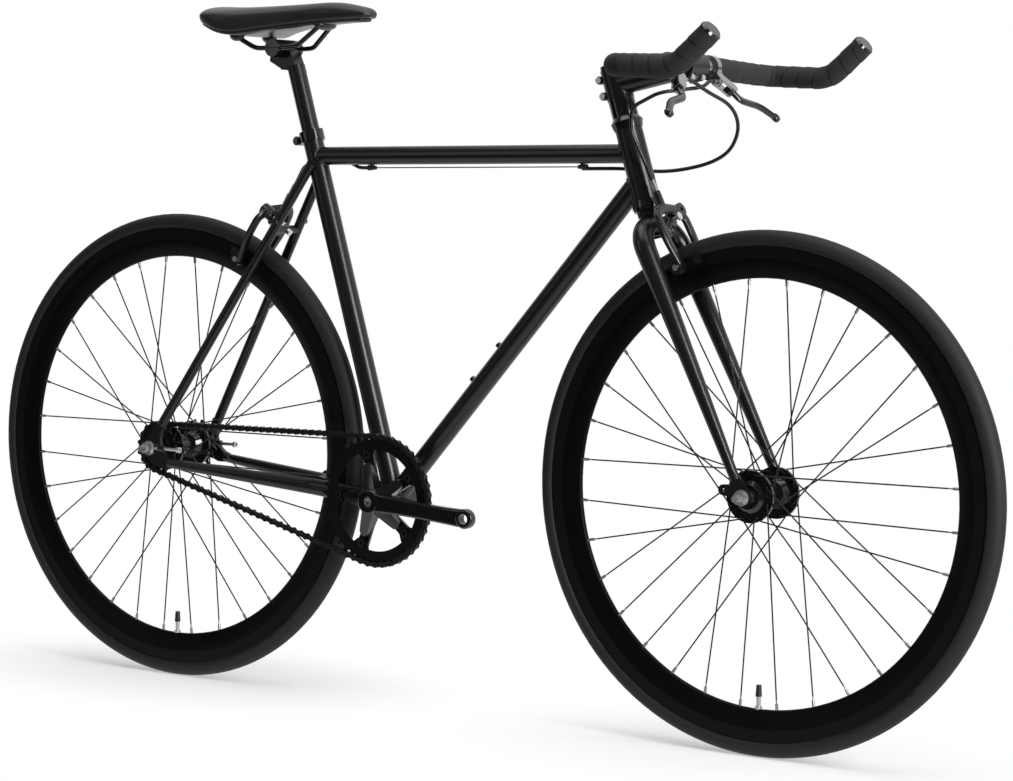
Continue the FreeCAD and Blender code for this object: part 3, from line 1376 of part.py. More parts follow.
def calliper(name, put, host, host_front, host_back):
    """Two arms with their pads, and the bolt that holds them on a round tube, with a washer shaped to it."""
    upper = calliper_middle + side_gap
    lug = rod(V(pad_u - 4, pad_w, pad_n), V(pad_u + 6, pad_w, pad_n), pad_lug_radius)
    post_hole = rod(V(0, pad_w, pad_n), V(pad_u + 60, pad_w, pad_n), pad_post_radius + run_gap)
    pivot_hole = calliper_hole_at(calliper_pivot_u, calliper_pivot_w, calliper_bolt_radius + run_gap)
    anchor = fused([calliper_bar(anchor_arm_line + [(pad_u, pad_w)], anchor_arm_bends, calliper_low),
                    calliper_boss(0, 0, calliper_boss_radius, calliper_low),
                    calliper_boss(calliper_pivot_u, calliper_pivot_w, calliper_boss_radius, calliper_low),
                    calliper_boss(anchor_u, anchor_w, calliper_arm_half, calliper_low), lug])
    anchor = anchor.cut(post_hole).cut(pivot_hole)
    anchor = anchor.cut(calliper_hole_at(0, 0, calliper_bolt_radius + run_gap))
    anchor_screw = Part.makeCylinder(anchor_screw_radius, 4.0, V(anchor_u, anchor_w, calliper_middle))
    horn = oval_bar([V(u, w, horn_n) for u, w in adjuster_horn_line], [], adjuster_horn_half,
                    calliper_arm / 2 - side_gap)
    barrel_top = V(horn_u, horn_w + adjuster_rise, horn_n)
    adjuster = fused([calliper_bar(adjuster_arm_line + [(-pad_u, pad_w)], adjuster_arm_bends, upper),
                      horn,
                      calliper_boss(calliper_pivot_u, calliper_pivot_w, calliper_boss_radius, upper),
                      rod(V(horn_u, horn_w - 2, horn_n), barrel_top, adjuster_radius),
                      lug.mirror(V(0, 0, 0), X)])
    adjuster = adjuster.cut(post_hole.mirror(V(0, 0, 0), X)).cut(pivot_hole)
    adjuster = adjuster.cut(calliper_hole_at(0, 0, calliper_bolt_radius + calliper_bolt_play))
    adjuster = adjuster.cut(rod(V(horn_u, anchor_w, horn_n), barrel_top, adjuster_bore))
    save(name + "_anchor_arm", put(anchor), put(brake_pad()), put(anchor_screw))
    save(name + "_adjuster_arm", put(adjuster), put(brake_pad().mirror(V(0, 0, 0), X)))
    head_low = calliper_high + side_gap
    nut_low = -host_back - calliper_nut_height
    bolt = fused([Part.makeCylinder(calliper_bolt_radius, head_low - nut_low, V(0, 0, nut_low)),
                  Part.makeCylinder(calliper_bolt_radius + 2.5, bolt_head, V(0, 0, head_low))])
    nut = Part.makeCylinder(calliper_nut_radius, calliper_nut_height + washer_wrap, V(0, 0, nut_low))
    nut = nut.cut(Part.makeCylinder(calliper_bolt_radius + run_gap, head_low, V(0, 0, nut_low)))
    washer_low = host_front - washer_wrap
    washer = Part.makeCylinder(calliper_washer_radius, calliper_low - side_gap - washer_low,
                               V(0, 0, washer_low))
    washer = washer.cut(Part.makeCylinder(calliper_bolt_radius + run_gap, calliper_low, V(0, 0, 0)))
    save(name + "_bolt", put(bolt), put(nut).cut(host), put(washer).cut(host))


def front_calliper_place(shape):
    """Ahead of the fork crown."""
    return placed(shape, calliper_hole, Y, blade_along * -1, blade_out)


def rear_calliper_place(shape):
    """Behind the bridge between the seatstays."""
    return placed(shape, brake_point, Y * -1, stay_up, rear_out)


hole_ahead = (calliper_hole - crown).dot(steer_ahead)
fork_crown = Part.makeCompound([steerer_solid, blade, mirrored(blade)])
calliper("front_calliper", front_calliper_place, fork_crown,
         max(blade_top_radius, steerer_radius - hole_ahead),
         steerer_radius + hole_ahead)
calliper("rear_calliper", rear_calliper_place, bridge_solid, bridge_radius, bridge_radius)

# Seat post and saddle
post_low = up_seat(seat_tube_length - post_inside)
post_high = up_seat(seat_tube_length + post_above)
clamp_mid = V(post_high.x - clamp_set_back, 0, rail_height)
clamp_under = rail_height - rail_radius - 2.5
clamp_over = rail_height + rail_radius + 3.5
half_width = clamp_width / 2
clamp_barrel = across((-half_width, half_width), clamp_radius, 0, clamp_mid)
head_half = 11.0
post_head_top = rail_height - 4.0
head_block = outline(V(clamp_mid.x - 17, -head_half, clamp_under - 12),
                     V(clamp_mid.x + 6, -head_half, clamp_under - 24),
                     V(post_high.x + 11, -head_half, post_high.z - 8),
                     V(clamp_mid.x + 20, -head_half, post_head_top),
                     V(clamp_mid.x - 15, -head_half, post_head_top))
post_head = area(head_block).extrude(V(0, 2 * head_half, 0)).cut(clamp_barrel)
neck_end = up_seat(seat_tube_length + post_above - 10)
bolt_top = V(clamp_mid.x, 0, clamp_over)
bolt_foot = V(clamp_mid.x, 0, clamp_under - 24)
bolt_room = rod(bolt_foot - Z * 30, bolt_top, bolt_radius + run_gap * 4)
head_room = rod(bolt_foot - Z * 20, bolt_foot + Z * 5, bolt_head_radius + 0.6)
seatpost = fused([rod(post_low, post_high, post_radius), post_head])
save("seatpost", seatpost.cut(rod(post_low, neck_end,
                                  post_radius - post_wall)).cut(bolt_room).cut(head_room))


def rail_points(side):
    """The corners of a rail, from its nose socket, along the clamp, to its rear socket."""
    return [V(saddle_nose_x - rail_nose_back, side * rail_nose_y, rail_nose_height),
            V(clamp_mid.x + rail_front_bend, side * (rail_y - 2), rail_height + 1),
            V(clamp_mid.x + rail_front_flat, side * rail_y, rail_height),
            V(clamp_mid.x - rail_rear_bend, side * rail_y, rail_height),
            V(saddle_nose_x - rail_rear_back, side * rail_rear_y, rail_rear_height)]


def rail_path(side):
    """The rail's line with its bends."""
    return route(rail_points(side), [rail_bend, 40.0, rail_bend])


rails = [swept(rail_path(side), rail_radius) for side in (-1, 1)]
grooves = [rod(V(clamp_mid.x - 60, side * rail_y, rail_height),
               V(clamp_mid.x + 60, side * rail_y, rail_height),
               rail_radius + run_gap) for side in (-1, 1)]
clamp_room = 4 * clamp_radius
lower_space = Part.makeBox(clamp_room, clamp_width, clamp_room,
                           V(clamp_mid.x - clamp_room / 2, -half_width, rail_height - clamp_room))
upper_space = lower_space.translated(Z * (clamp_room + 1.0))
clamp_pieces = []
for space in (lower_space, upper_space):
    piece = clamp_barrel.common(space).cut(Part.makeCompound(grooves))
    clamp_pieces.append(piece.cut(rod(bolt_foot, bolt_top + Z * 2, bolt_radius + run_gap)))
saddle_bolt = fused([rod(bolt_foot, bolt_top - Z, bolt_radius),
                     rod(bolt_foot, bolt_foot + Z * 4.5, bolt_head_radius)])
save("saddle_clamp", *clamp_pieces, saddle_bolt)
save("saddle_rails", *rails)


def saddle_section(x, half, crown_z, edge_z, under_z):
    """One crosswise outline: a crowned top, drawn in sides and a flat underside."""
    waist = half - saddle_inset
    side = half * 0.55
    brow = crown_z - (crown_z - edge_z) * 0.28
    return outline(V(x, -waist, under_z), V(x, -half, edge_z), (V(x, -side, brow), V(x, 0, crown_z)),
                   (V(x, side, brow), V(x, half, edge_z)), V(x, waist, under_z))


cushion = Part.makeLoft([saddle_section(saddle_nose_x - back, half, top, edge, under)
                         for back, half, top, edge, under in saddle_stations], True, False)
save("saddle_cover", cushion)


def shell_section(x, half, under_z):
    """One crosswise outline of the stiff base below the cushion."""
    wide = half - saddle_inset - 1
    top = under_z - seat_gap
    return outline(V(x, -wide, top), V(x, wide, top), V(x, wide - 2, top - saddle_shell_thickness),
                   V(x, -wide + 2, top - saddle_shell_thickness))


def saddle_shell():
    """The base, with the sockets that hold the rails at nose and rear."""
    base = Part.makeLoft([shell_section(saddle_nose_x - back, half, under)
                          for back, half, top, edge, under in saddle_stations[1:-1]], True, False)
    nose = Part.makeBox(18, 40, 12, V(saddle_nose_x - rail_nose_back - 8, -20, rail_nose_height - 5.5))
    sockets = [nose]
    for side in (-1, 1):
        sockets.append(Part.makeBox(18, 16, 10,
                                    V(saddle_nose_x - rail_rear_back - 8, side * rail_rear_y - 8,
                                                  rail_rear_height - 5.0)))
    base = fused([base] + sockets).cut(cushion)
    for side in (-1, 1):
        base = base.cut(swept(rail_path(side), rail_radius + run_gap))
    return base


save("saddle_shell", saddle_shell())

# Brake cables, each along the way it lies on the bicycle


def cable(points, bends, radius):
    """One length of housing or wire."""
    return swept(route(points, bends), radius)


def in_front_calliper(u, w, n):
    """A point in the front calliper's axes."""
    return calliper_hole + Y * u - blade_along * w + blade_out * n


def in_rear_calliper(u, w, n):
    """A point in the rear calliper's axes."""
    return brake_point - Y * u + stay_up * w + rear_out * n


def calliper_wire(place):
    """The bare wire from the adjuster down to the anchor screw, and the crimp on its end."""
    top = place(horn_u, horn_w + adjuster_rise, horn_n)
    foot = place(horn_u, anchor_w - wire_tail, horn_n)
    crimp = place(horn_u, anchor_w - wire_tail - crimp_length, horn_n)
    return fused([rod(top, foot, wire_radius), rod(foot, crimp, wire_radius * 1.6)])


barrel_end = clamp_centre - Y * (4 + adjuster_length + seat_gap) + hang * barrel_height
right_barrel_end = V(barrel_end.x, -barrel_end.y, barrel_end.z)
front_adjuster = in_front_calliper(horn_u, horn_w + adjuster_rise + seat_gap, horn_n)
front_lead_in = in_front_calliper(horn_u, horn_w + adjuster_rise + 26, horn_n)
front_housing = cable([barrel_end, barrel_end - Y * 9, V(387, 6, 859), V(346, -36, 851), V(303, -34, 832),
                       V(301, -30, 800), front_lead_in, front_adjuster], [20, 22, 25, 22, 30, 40],
                       housing_radius)
save("front_brake_cable", front_housing, calliper_wire(in_front_calliper))

front_stop = under_top_tube(front_stop_x) + top_along * seat_gap
rear_stop = under_top_tube(rear_stop_x) - top_along * seat_gap
stop_lead = top_along * 22.0
save("rear_cable_loop", cable([right_barrel_end, right_barrel_end + Y * 14, V(395, 2, 853),
                               V(410, 44, 836),
                               V(411, 62, 803), V(390, 57, 766), V(318, 40, 748), V(268, 14, 753),
                               front_stop + stop_lead, front_stop],
                              [30, 40, 25, 25, 25, 40, 60, 60], housing_radius))
rear_adjuster = in_rear_calliper(horn_u, horn_w + adjuster_rise + seat_gap, horn_n)
rear_lead_in = in_rear_calliper(horn_u, horn_w + adjuster_rise + 34, horn_n)
rear_housing = cable([rear_stop, rear_stop - stop_lead, V(-200, 20, 757), V(-244, 28, 760), rear_lead_in,
                      rear_adjuster], [30, 40, 40, 22], housing_radius)
save("rear_brake_cable", rear_housing, rod(front_stop, rear_stop, wire_radius),
     calliper_wire(in_rear_calliper))
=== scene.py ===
# %% [markdown]
# # A fixed gear bicycle, dressed for its picture
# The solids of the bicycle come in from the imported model: tubes, wheels, chain, levers and
# bolts, each where it belongs. This file gives them their finishes, winds the tape, pads the
# saddle and lays the cables, and then sets up a plain white studio round them.
# Lengths are in metres. +X is forward, +Y the rider's left, +Z up.

# %% Load the solids
import json
import math

import bmesh
import bpy
from mathutils import Matrix, Vector


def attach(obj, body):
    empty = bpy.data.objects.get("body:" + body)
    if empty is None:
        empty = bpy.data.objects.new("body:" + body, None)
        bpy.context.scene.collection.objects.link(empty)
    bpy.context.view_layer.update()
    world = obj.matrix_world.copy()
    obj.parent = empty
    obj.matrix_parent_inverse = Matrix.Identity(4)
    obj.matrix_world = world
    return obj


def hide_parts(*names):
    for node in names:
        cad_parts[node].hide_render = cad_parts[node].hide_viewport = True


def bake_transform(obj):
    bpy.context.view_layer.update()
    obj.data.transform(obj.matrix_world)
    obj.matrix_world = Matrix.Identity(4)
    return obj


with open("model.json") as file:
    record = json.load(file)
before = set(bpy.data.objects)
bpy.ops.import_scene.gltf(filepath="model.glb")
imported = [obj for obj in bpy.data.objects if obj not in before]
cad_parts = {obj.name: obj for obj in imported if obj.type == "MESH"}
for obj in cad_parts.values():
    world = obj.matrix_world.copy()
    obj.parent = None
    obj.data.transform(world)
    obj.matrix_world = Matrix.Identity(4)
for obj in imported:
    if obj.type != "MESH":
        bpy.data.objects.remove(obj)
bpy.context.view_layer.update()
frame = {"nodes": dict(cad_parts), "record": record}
nodes = frame["nodes"]
print("solids loaded:", len(nodes))

# %% [markdown]
# ## The camera
# A long lens far away keeps the two wheels almost the same size, as in a shop's picture.
# Place, aim and lens were found by matching the axles, the tubes and the wheels' outlines, so the
# aim is written as three directions and not as angles that a person would choose.

# %% Camera
CAMERA_RIGHT = Vector((0.8217756, 0.569585, 0.0160569))
CAMERA_UP = Vector((-0.0542265, 0.0501223, 0.9972699))
CAMERA_AHEAD = Vector((-0.5672251, 0.8204028, -0.0720759))
CAMERA_PLACE = (2.384648, -3.318613, 0.742421)
FOCAL_PIXELS = 2986.74
PICTURE_WIDTH = 1013
SENSOR_WIDTH = 36.0


def put(name, data):
    """Bring new data into the scene as an object."""
    thing = bpy.data.objects.new(name, data)
    bpy.context.scene.collection.objects.link(thing)
    return thing


camera_data = bpy.data.cameras.new("camera")
camera_data.sensor_fit = "HORIZONTAL"
camera_data.sensor_width = SENSOR_WIDTH
camera_data.lens = FOCAL_PIXELS * SENSOR_WIDTH / PICTURE_WIDTH
camera = put("camera", camera_data)
camera.matrix_world = Matrix((CAMERA_RIGHT, CAMERA_UP, -CAMERA_AHEAD)).transposed().to_4x4()
camera.location = CAMERA_PLACE
bpy.context.scene.camera = camera
print("lens:", round(camera_data.lens, 1), "mm")

# %% [markdown]
# ## Sums in a shader
# A finish is a small net of nodes. Drawing every Math node by hand is slow to read, so one class
# wraps a socket and lets plain Python sums add the nodes: 1 - mask becomes a Subtract node.


# %% A value that can be added, multiplied and compared
class Value:
    """One output socket of a net, ready for sums."""

    def __init__(self, net, socket):
        self.net = net
        self.socket = socket

    def math(self, operation, *terms):
        return self.net.node("ShaderNodeMath", {"operation": operation}, dict(enumerate(terms)))

    def __add__(self, term):
        return self.math("ADD", self, term)

    __radd__ = __add__

    def __sub__(self, term):
        return self.math("SUBTRACT", self, term)

    def __rsub__(self, term):
        return self.math("SUBTRACT", term, self)

    def __mul__(self, term):
        return self.math("MULTIPLY", self, term)

    __rmul__ = __mul__

    def __gt__(self, term):
        return self.math("GREATER_THAN", self, term)

    def __lt__(self, term):
        return self.math("LESS_THAN", self, term)

    def power(self, term):
        return self.math("POWER", self, term)

    def wave(self):
        return self.math("SINE", self)

    def other(self, out):
        """Another output of the same node."""
        return Value(self.net, self.socket.node.outputs[out])


print("sums ready: add, subtract, multiply, compare, power, sine")

# %% [markdown]
# Every node that isn't a sum comes from one method, which takes its type, its settings and what goes
# into its sockets. The settings come first, because some of them change which sockets there are.


# %% A net of nodes
class Net:
    """A tree of shader nodes, filled by one method."""

    def __init__(self, tree):
        self.tree = tree

    def node(self, kind, settings=None, inputs=None, out=0):
        """Add a node: its settings first, then the values or links of its sockets."""
        node = self.tree.nodes.new(kind)
        for key, value in (settings or {}).items():
            setattr(node, key, value)
        for key, term in (inputs or {}).items():
            self.feed(node.inputs[key], term)
        return Value(self, node.outputs[out])

    def feed(self, socket, term):
        """Link a value to a socket, or set the socket to a constant."""
        if isinstance(term, Value):
            self.tree.links.new(term.socket, socket)
        else:
            socket.default_value = term

    def axes(self, source="Object"):
        """The three coordinates of a point as plain values."""
        split = self.node("ShaderNodeSeparateXYZ", inputs={0: self.node("ShaderNodeTexCoord", out=source)})
        return [split, split.other("Y"), split.other("Z")]

    def smooth_step(self, value, low, high, to_low=0.0, to_high=1.0):
        """A soft rise from one level to another while a value goes from low to high."""
        return self.node("ShaderNodeMapRange", {"interpolation_type": "SMOOTHSTEP"},
                         {"Value": value, "From Min": low, "From Max": high,
                          "To Min": to_low, "To Max": to_high})

    def rays(self):
        """Two masks: what the camera sees, and what shiny or clear things show of it."""
        seen = self.node("ShaderNodeLightPath", out="Is Camera Ray")
        return seen, seen.other("Is Glossy Ray") + seen.other("Is Transmission Ray")

    def surface(self, mask, low, high):
        """Show one shader where the mask is 0 and another where it is 1."""
        shown = self.node("ShaderNodeMixShader", inputs={0: mask, 1: low, 2: high})
        output = [node for node in self.tree.nodes if node.type.startswith("OUTPUT")][0]
        self.feed(output.inputs["Surface"], shown)


print("net ready: nodes, axes, soft steps, ray masks and surfaces")

# %% [markdown]
# A finish is a net with a principled shader in it. Object coordinates say where a point lies on the
# bicycle at rest, so masks can use real distances. Colours go through Mix nodes, because a Math node
# turns a colour grey.

# %% A finish
BUMP_DEPTH = 0.0002


class Finish(Net):
    """One material: a principled shader, with constants set on it and patterns linked to it."""

    def __init__(self, name, **constants):
        self.material = bpy.data.materials.new(name)
        self.material.use_nodes = True
        super().__init__(self.material.node_tree)
        self.shader = self.tree.nodes["Principled BSDF"]
        self.vary(**constants)

    def vary(self, **terms):
        """Give the shader's own sockets a constant or a pattern."""
        for socket, term in terms.items():
            self.feed(self.shader.inputs[socket.replace("_", " ")], term)
        return self

    def shaded(self):
        """What the principled shader gives."""
        return Value(self, self.shader.outputs[0])

    def place(self):
        """Where a point lies on the bicycle at rest."""
        return self.node("ShaderNodeTexCoord", out="Object")

    def round_axle(self, axle):
        """Distance from a line that crosses the bicycle through a point."""
        along, _, tall = self.axes()
        return ((along - axle.x).power(2.0) + (tall - axle.z).power(2.0)).power(0.5)

    def near(self, point, reach):
        """A mask: 1 within reach of a point."""
        away = self.node("ShaderNodeVectorMath", {"operation": "DISTANCE"}, {0: self.place(), 1: point},
                         out="Value")
        return away < reach

    def beyond(self, point, way, distance):
        """A mask: 1 past a plane, which lies at a distance along a way from a point."""
        offset = self.node("ShaderNodeVectorMath", {"operation": "SUBTRACT"}, {0: self.place(), 1: point})
        along = self.node("ShaderNodeVectorMath", {"operation": "DOT_PRODUCT"}, {0: offset, 1: way},
                          out="Value")
        return along > distance

    def noise(self, scale, detail=3.0):
        return self.node("ShaderNodeTexNoise", inputs={"Vector": self.place(), "Scale": scale,
                                                       "Detail": detail})

    def spots(self, scale):
        return self.node("ShaderNodeTexVoronoi", inputs={"Vector": self.place(), "Scale": scale})

    def between(self, mask, low, high):
        """A colour that goes from one to another as the mask rises."""
        low, high = [tone if isinstance(tone, Value) else (*tone, 1) for tone in (low, high)]
        return self.node("ShaderNodeMix", {"data_type": "RGBA"}, {0: mask, 6: low, 7: high}, out=2)

    def bumps(self, height, strength):
        """Let a pattern of heights tilt the surface."""
        return self.vary(Normal=self.node("ShaderNodeBump", inputs={"Height": height, "Strength": strength,
                                                                    "Distance": BUMP_DEPTH}))


def grey(tone, warmth=0.0):
    """A near neutral tone: a little more red and less blue with warmth."""
    return (tone * (1 + warmth), tone, tone * (1 - warmth))


print("bump depth:", BUMP_DEPTH * 1000, "mm")

# %% [markdown]
# ## Paint
# Satin paint is almost black with a soft shine that changes a little from place to place, so noise
# moves its roughness and a very fine bump stands for the sprayed surface. Gloss parts are smoother.
# The chainring is anodised, which is dull and darker than paint, and the rims get a like look in two
# tones further on. The cables' housing and the saddle's base are a smooth black plastic.


# %% Black finishes
def satin_paint():
    finish = Finish("satin_black_paint", Specular_IOR_Level=0.40)
    cloud = finish.noise(14.0)
    finish.vary(Base_Color=finish.between(cloud, grey(0.0040), grey(0.0060)), Roughness=0.26 + cloud * 0.06)
    return finish.bumps(finish.noise(1400.0, 2.0), 0.001)


def gloss_black():
    finish = Finish("gloss_black", Specular_IOR_Level=0.5)
    cloud = finish.noise(40.0)
    finish.vary(Base_Color=finish.between(cloud, grey(0.0028), grey(0.0045)), Roughness=0.12 + cloud * 0.07,
                Coat_Weight=cloud * 0.3)
    return finish.bumps(finish.noise(500.0, 2.0), 0.004)


def anodised_black():
    finish = Finish("anodised_black", Specular_IOR_Level=0.10)
    cloud = finish.noise(24.0)
    finish.vary(Base_Color=finish.between(cloud, grey(0.0014, 0.06), grey(0.0024, 0.06)),
                Roughness=0.38 + cloud * 0.10)
    return finish.bumps(finish.noise(1800.0, 2.0), 0.012)


def black_plastic():
    finish = Finish("black_plastic", Specular_IOR_Level=0.45)
    cloud = finish.noise(60.0)
    finish.vary(Base_Color=finish.between(cloud, grey(0.0045), grey(0.0075)), Roughness=0.26 + cloud * 0.12)
    return finish.bumps(finish.noise(1200.0), 0.06)


paint = satin_paint()
gloss = gloss_black()
anodised = anodised_black()
plastic = black_plastic()
print("black finishes:", [finish.material.name for finish in (paint, gloss, anodised, plastic)])

# %% [markdown]
# ## Bare metal
# The bar's middle and the lever brackets are polished alloy. Axle nuts, stem bolts and brake bolts are
# bright steel, and the chain and its sprockets are blackened steel that has worn a little. A metal's
# colour is its reflection, so the noise that changes the tone also changes how rough it is.


# %% Metal finishes
def polished_alloy():
    finish = Finish("polished_alloy")
    cloud = finish.noise(60.0)
    finish.vary(Base_Color=finish.between(cloud, grey(0.26), grey(0.36)), Metallic=0.90 + cloud * 0.10,
                Roughness=0.14 + cloud * 0.08)
    return finish.bumps(finish.noise(600.0, 2.0), 0.004)


def blackened_steel():
    finish = Finish("blackened_steel", Specular_IOR_Level=0.4)
    wear = finish.noise(160.0, 4.0)
    finish.vary(Base_Color=finish.between(wear, grey(0.006, 0.04), grey(0.030, 0.04)),
                Metallic=0.45 + wear * 0.4, Roughness=0.26 + wear * 0.14)
    return finish.bumps(finish.noise(900.0), 0.06)


def bright_steel():
    finish = Finish("bright_steel")
    wear = finish.noise(120.0, 4.0)
    finish.vary(Base_Color=finish.between(wear, grey(0.50, 0.01), grey(0.68, 0.01)),
                Metallic=0.92 + wear * 0.08, Roughness=0.26 + wear * 0.12)
    return finish.bumps(finish.noise(700.0), 0.03)


polished = polished_alloy()
chain_steel = blackened_steel()
steel = bright_steel()
print("metal finishes:", [finish.material.name for finish in (polished, chain_steel, steel)])

# %% [markdown]
# ## Rubber, vinyl and tape
# Tyres are a dusty charcoal with fine grooves round the tread. The saddle's cover has a fine leather grain,
# and the tape is foam with small specks, so it hardly shines at all.

# %% Soft finishes
TREAD_PITCH = 0.0018


def tyre_rubber():
    finish = Finish("tyre_rubber", Specular_IOR_Level=0.24)
    dust = finish.noise(30.0, 5.0)
    finish.vary(Base_Color=finish.between(dust, grey(0.0085, -0.03), grey(0.0135, -0.03)),
                Roughness=0.56 + dust * 0.14)
    _, across, _ = finish.axes()
    grooves = (across * (2 * math.pi / TREAD_PITCH)).wave()
    return finish.bumps(grooves * 0.5 + finish.noise(1500.0) * 0.5, 0.10)


def saddle_vinyl():
    finish = Finish("saddle_vinyl", Specular_IOR_Level=0.45)
    grain = finish.spots(900.0)
    cloud = finish.noise(20.0)
    finish.vary(Base_Color=finish.between(cloud, grey(0.009), grey(0.014)), Roughness=0.36 + cloud * 0.10)
    return finish.bumps(grain, 0.22)


def foam_tape():
    finish = Finish("foam_tape", Specular_IOR_Level=0.22)
    specks = finish.noise(1100.0, 4.0)
    cloud = finish.noise(35.0)
    finish.vary(Base_Color=finish.between(cloud * 0.6 + specks * 0.4, grey(0.015), grey(0.029)),
                Roughness=0.70 + cloud * 0.12)
    return finish.bumps(specks, 0.12)


rubber = tyre_rubber()
vinyl = saddle_vinyl()
tape_foam = foam_tape()
print("soft finishes:", [finish.material.name for finish in (rubber, vinyl, tape_foam)])

# %% [markdown]
# ## Which solid wears which finish
# Each solid keeps its shape and gets one finish. The list runs over the record's own material groups,
# and the exceptions are named one by one.

# %% Dress the solids
by_slot = {"frame_paint": paint, "black_alloy": gloss, "rim_paint": anodised, "black_steel": chain_steel,
           "bright_steel": steel, "tyre": rubber, "tube_rubber": rubber, "saddle_vinyl": vinyl,
           "bar_tape": tape_foam, "black_plastic": plastic}
exceptions = {"front_hub": gloss, "rear_hub": gloss, "frame_bolts": gloss, "saddle_rails": gloss,
              "bar_end_plugs": gloss, "stem": paint, "stem_faceplate": paint, "bottom_bracket_cups": paint,
              "seatpost": paint, "chainring": anodised, "lever_brackets": polished, "handlebar": polished}


def dress(name, finish):
    """Give a solid its finish in its own material slot."""
    solid = nodes[name]
    if not solid.material_slots:
        solid.data.materials.append(finish.material)
    for slot in solid.material_slots:
        slot.material = finish.material


for row in frame["record"]["subparts"]:
    dress(row["node"], exceptions.get(row["node"], by_slot[row["material_slot"]]))

# %% [markdown]
# ## Two tones on one solid
# Some solids carry small pieces of another finish: nipples on the spokes, a nut on the valve, screws in the
# brake arms. They could be cut apart, but a mask made from the place of each point does it in the shader:
# the distance from the axle tells the nipple from the spoke, and a small ball round a screw tells it from
# the arm.


# %% A finish of two materials
def two_tone(name, mask, tones, metals, roughs, shine=0.4):
    """A finish of two materials. Each pair holds the value where the mask is 0 and where it is 1."""
    finish = Finish(name, Specular_IOR_Level=shine)
    wear = finish.noise(150.0, 4.0)
    shown = mask(finish)
    low, high = grey(tones[0]), grey(tones[1], 0.01)
    finish.vary(Base_Color=finish.between(wear * 0.3, finish.between(shown, low, high), low),
                Metallic=metals[0] + shown * (metals[1] - metals[0]),
                Roughness=roughs[0] + shown * (roughs[1] - roughs[0]) + wear * 0.08)
    return finish.bumps(finish.noise(900.0), 0.04)


joints = {joint["name"]: joint for joint in frame["record"]["behaviour"]["joints"]}
AXLES = {end: Vector(joints[end + "_wheel_spin"]["pos_m"]) for end in ("front", "rear")}
SPINDLE = Vector(joints["crank_spin"]["pos_m"])
print("axles:", [tuple(round(part, 3) for part in axle) for axle in AXLES.values()])

# %% [markdown]
# On a wheel the lighter pieces all lie outside a radius: the nipples, the valve's nut, and the brake track
# at the rim's edge, which is a little lighter and duller than the rest. The two crank bolts lie inside a
# radius from the spindle, and the ring bolts outside it stay black.

# %% Wheels and crank bolts
NIPPLE_FOOT = 0.2636
VALVE_NUT = 0.2610
BRAKE_TRACK = 0.3025
CRANK_BOLT_REACH = 0.030


def outside(axle, radius):
    """A mask to be made in a finish: 1 further than a radius from an axle."""
    return lambda finish: finish.round_axle(axle) > radius


def crank_bolt_mask(finish):
    return finish.round_axle(SPINDLE) < CRANK_BOLT_REACH


for end, axle in AXLES.items():
    dress(end + "_spokes", two_tone(end + "_spoke_steel", outside(axle, NIPPLE_FOOT),
                                    tones=(0.012, 0.30), metals=(0.6, 0.95), roughs=(0.30, 0.28)))
    dress(end + "_inner_tube", two_tone(end + "_valve", outside(axle, VALVE_NUT),
                                        tones=(0.006, 0.5), metals=(0.0, 0.95), roughs=(0.36, 0.24)))
    dress(end + "_rim", two_tone(end + "_rim_black", outside(axle, BRAKE_TRACK), tones=(0.0012, 0.0032),
                                 metals=(0.0, 0.0), roughs=(0.36, 0.44), shine=0.08))
dress("crank_bolts", two_tone("crank_bolt_steel", crank_bolt_mask,
                              tones=(0.004, 0.55), metals=(0.0, 0.95), roughs=(0.24, 0.22)))
print("mixed finishes:", 3 * len(AXLES) + 1)

# %% [markdown]
# The brake arms are black, but their screws, pad nuts and cable adjusters are bright. Each brake has its own
# axes: u across the wheel, w up the fork or the stays, and n out along the bolt. They follow from the joint
# on which the arm turns, so a place in the brake is one sum.

# %% Brake arms
ARM_MIDDLE = 0.0235
ANCHOR_SCREW = (-0.020, -0.017, 0.0303)
SCREW_REACH = 0.0047
PAD_NUT = (0.0428, -0.068, 0.02815)
FAR_PAD_NUT = (-PAD_NUT[0], *PAD_NUT[1:])
NUT_REACH = 0.0050
HORN_TOP = 0.0384
BLACK_AND_BRIGHT = {"tones": (0.004, 0.5), "metals": (0.0, 0.95), "roughs": (0.22, 0.22)}


class Brake:
    """One calliper's own axes."""

    def __init__(self, end, turn):
        hinge = joints[end + "_anchor_arm"]
        self.out = -Vector(hinge["axis"])
        self.hole = Vector(hinge["pos_m"]) - self.out * ARM_MIDDLE
        self.rise = Vector((-self.out.z, 0, self.out.x)) * turn
        self.across = Vector((0, turn, 0))

    def at(self, place):
        """A place in the brake as a point of the bicycle."""
        u, w, n = place
        return self.hole + self.across * u + self.rise * w + self.out * n

    def anchor_mask(self, finish):
        return finish.near(self.at(ANCHOR_SCREW), SCREW_REACH) + finish.near(self.at(PAD_NUT), NUT_REACH)

    def adjuster_mask(self, finish):
        return finish.near(self.at(FAR_PAD_NUT), NUT_REACH) + finish.beyond(self.hole, self.rise, HORN_TOP)


for end, turn in (("front", 1), ("rear", -1)):
    brake = Brake(end, turn)
    dress(end + "_calliper_anchor_arm",
          two_tone(end + "_anchor_black", brake.anchor_mask, **BLACK_AND_BRIGHT))
    dress(end + "_calliper_adjuster_arm",
          two_tone(end + "_adjuster_black", brake.adjuster_mask, **BLACK_AND_BRIGHT))
    print(end, "brake bolt at:", [round(part, 3) for part in brake.hole])

# %% [markdown]
# ## The saddle
# The real one is foam under a stretched vinyl cover: wide and round behind, narrow in front, with a crown
# along the middle and sides that roll under. Cross sections from nose to tail, with more of them worked out
# between on smooth curves, are skinned with faces, and a subdivision surface rounds the skin as the cover
# does.

# %% Rows of the saddle
SADDLE_NOSE = -143.0
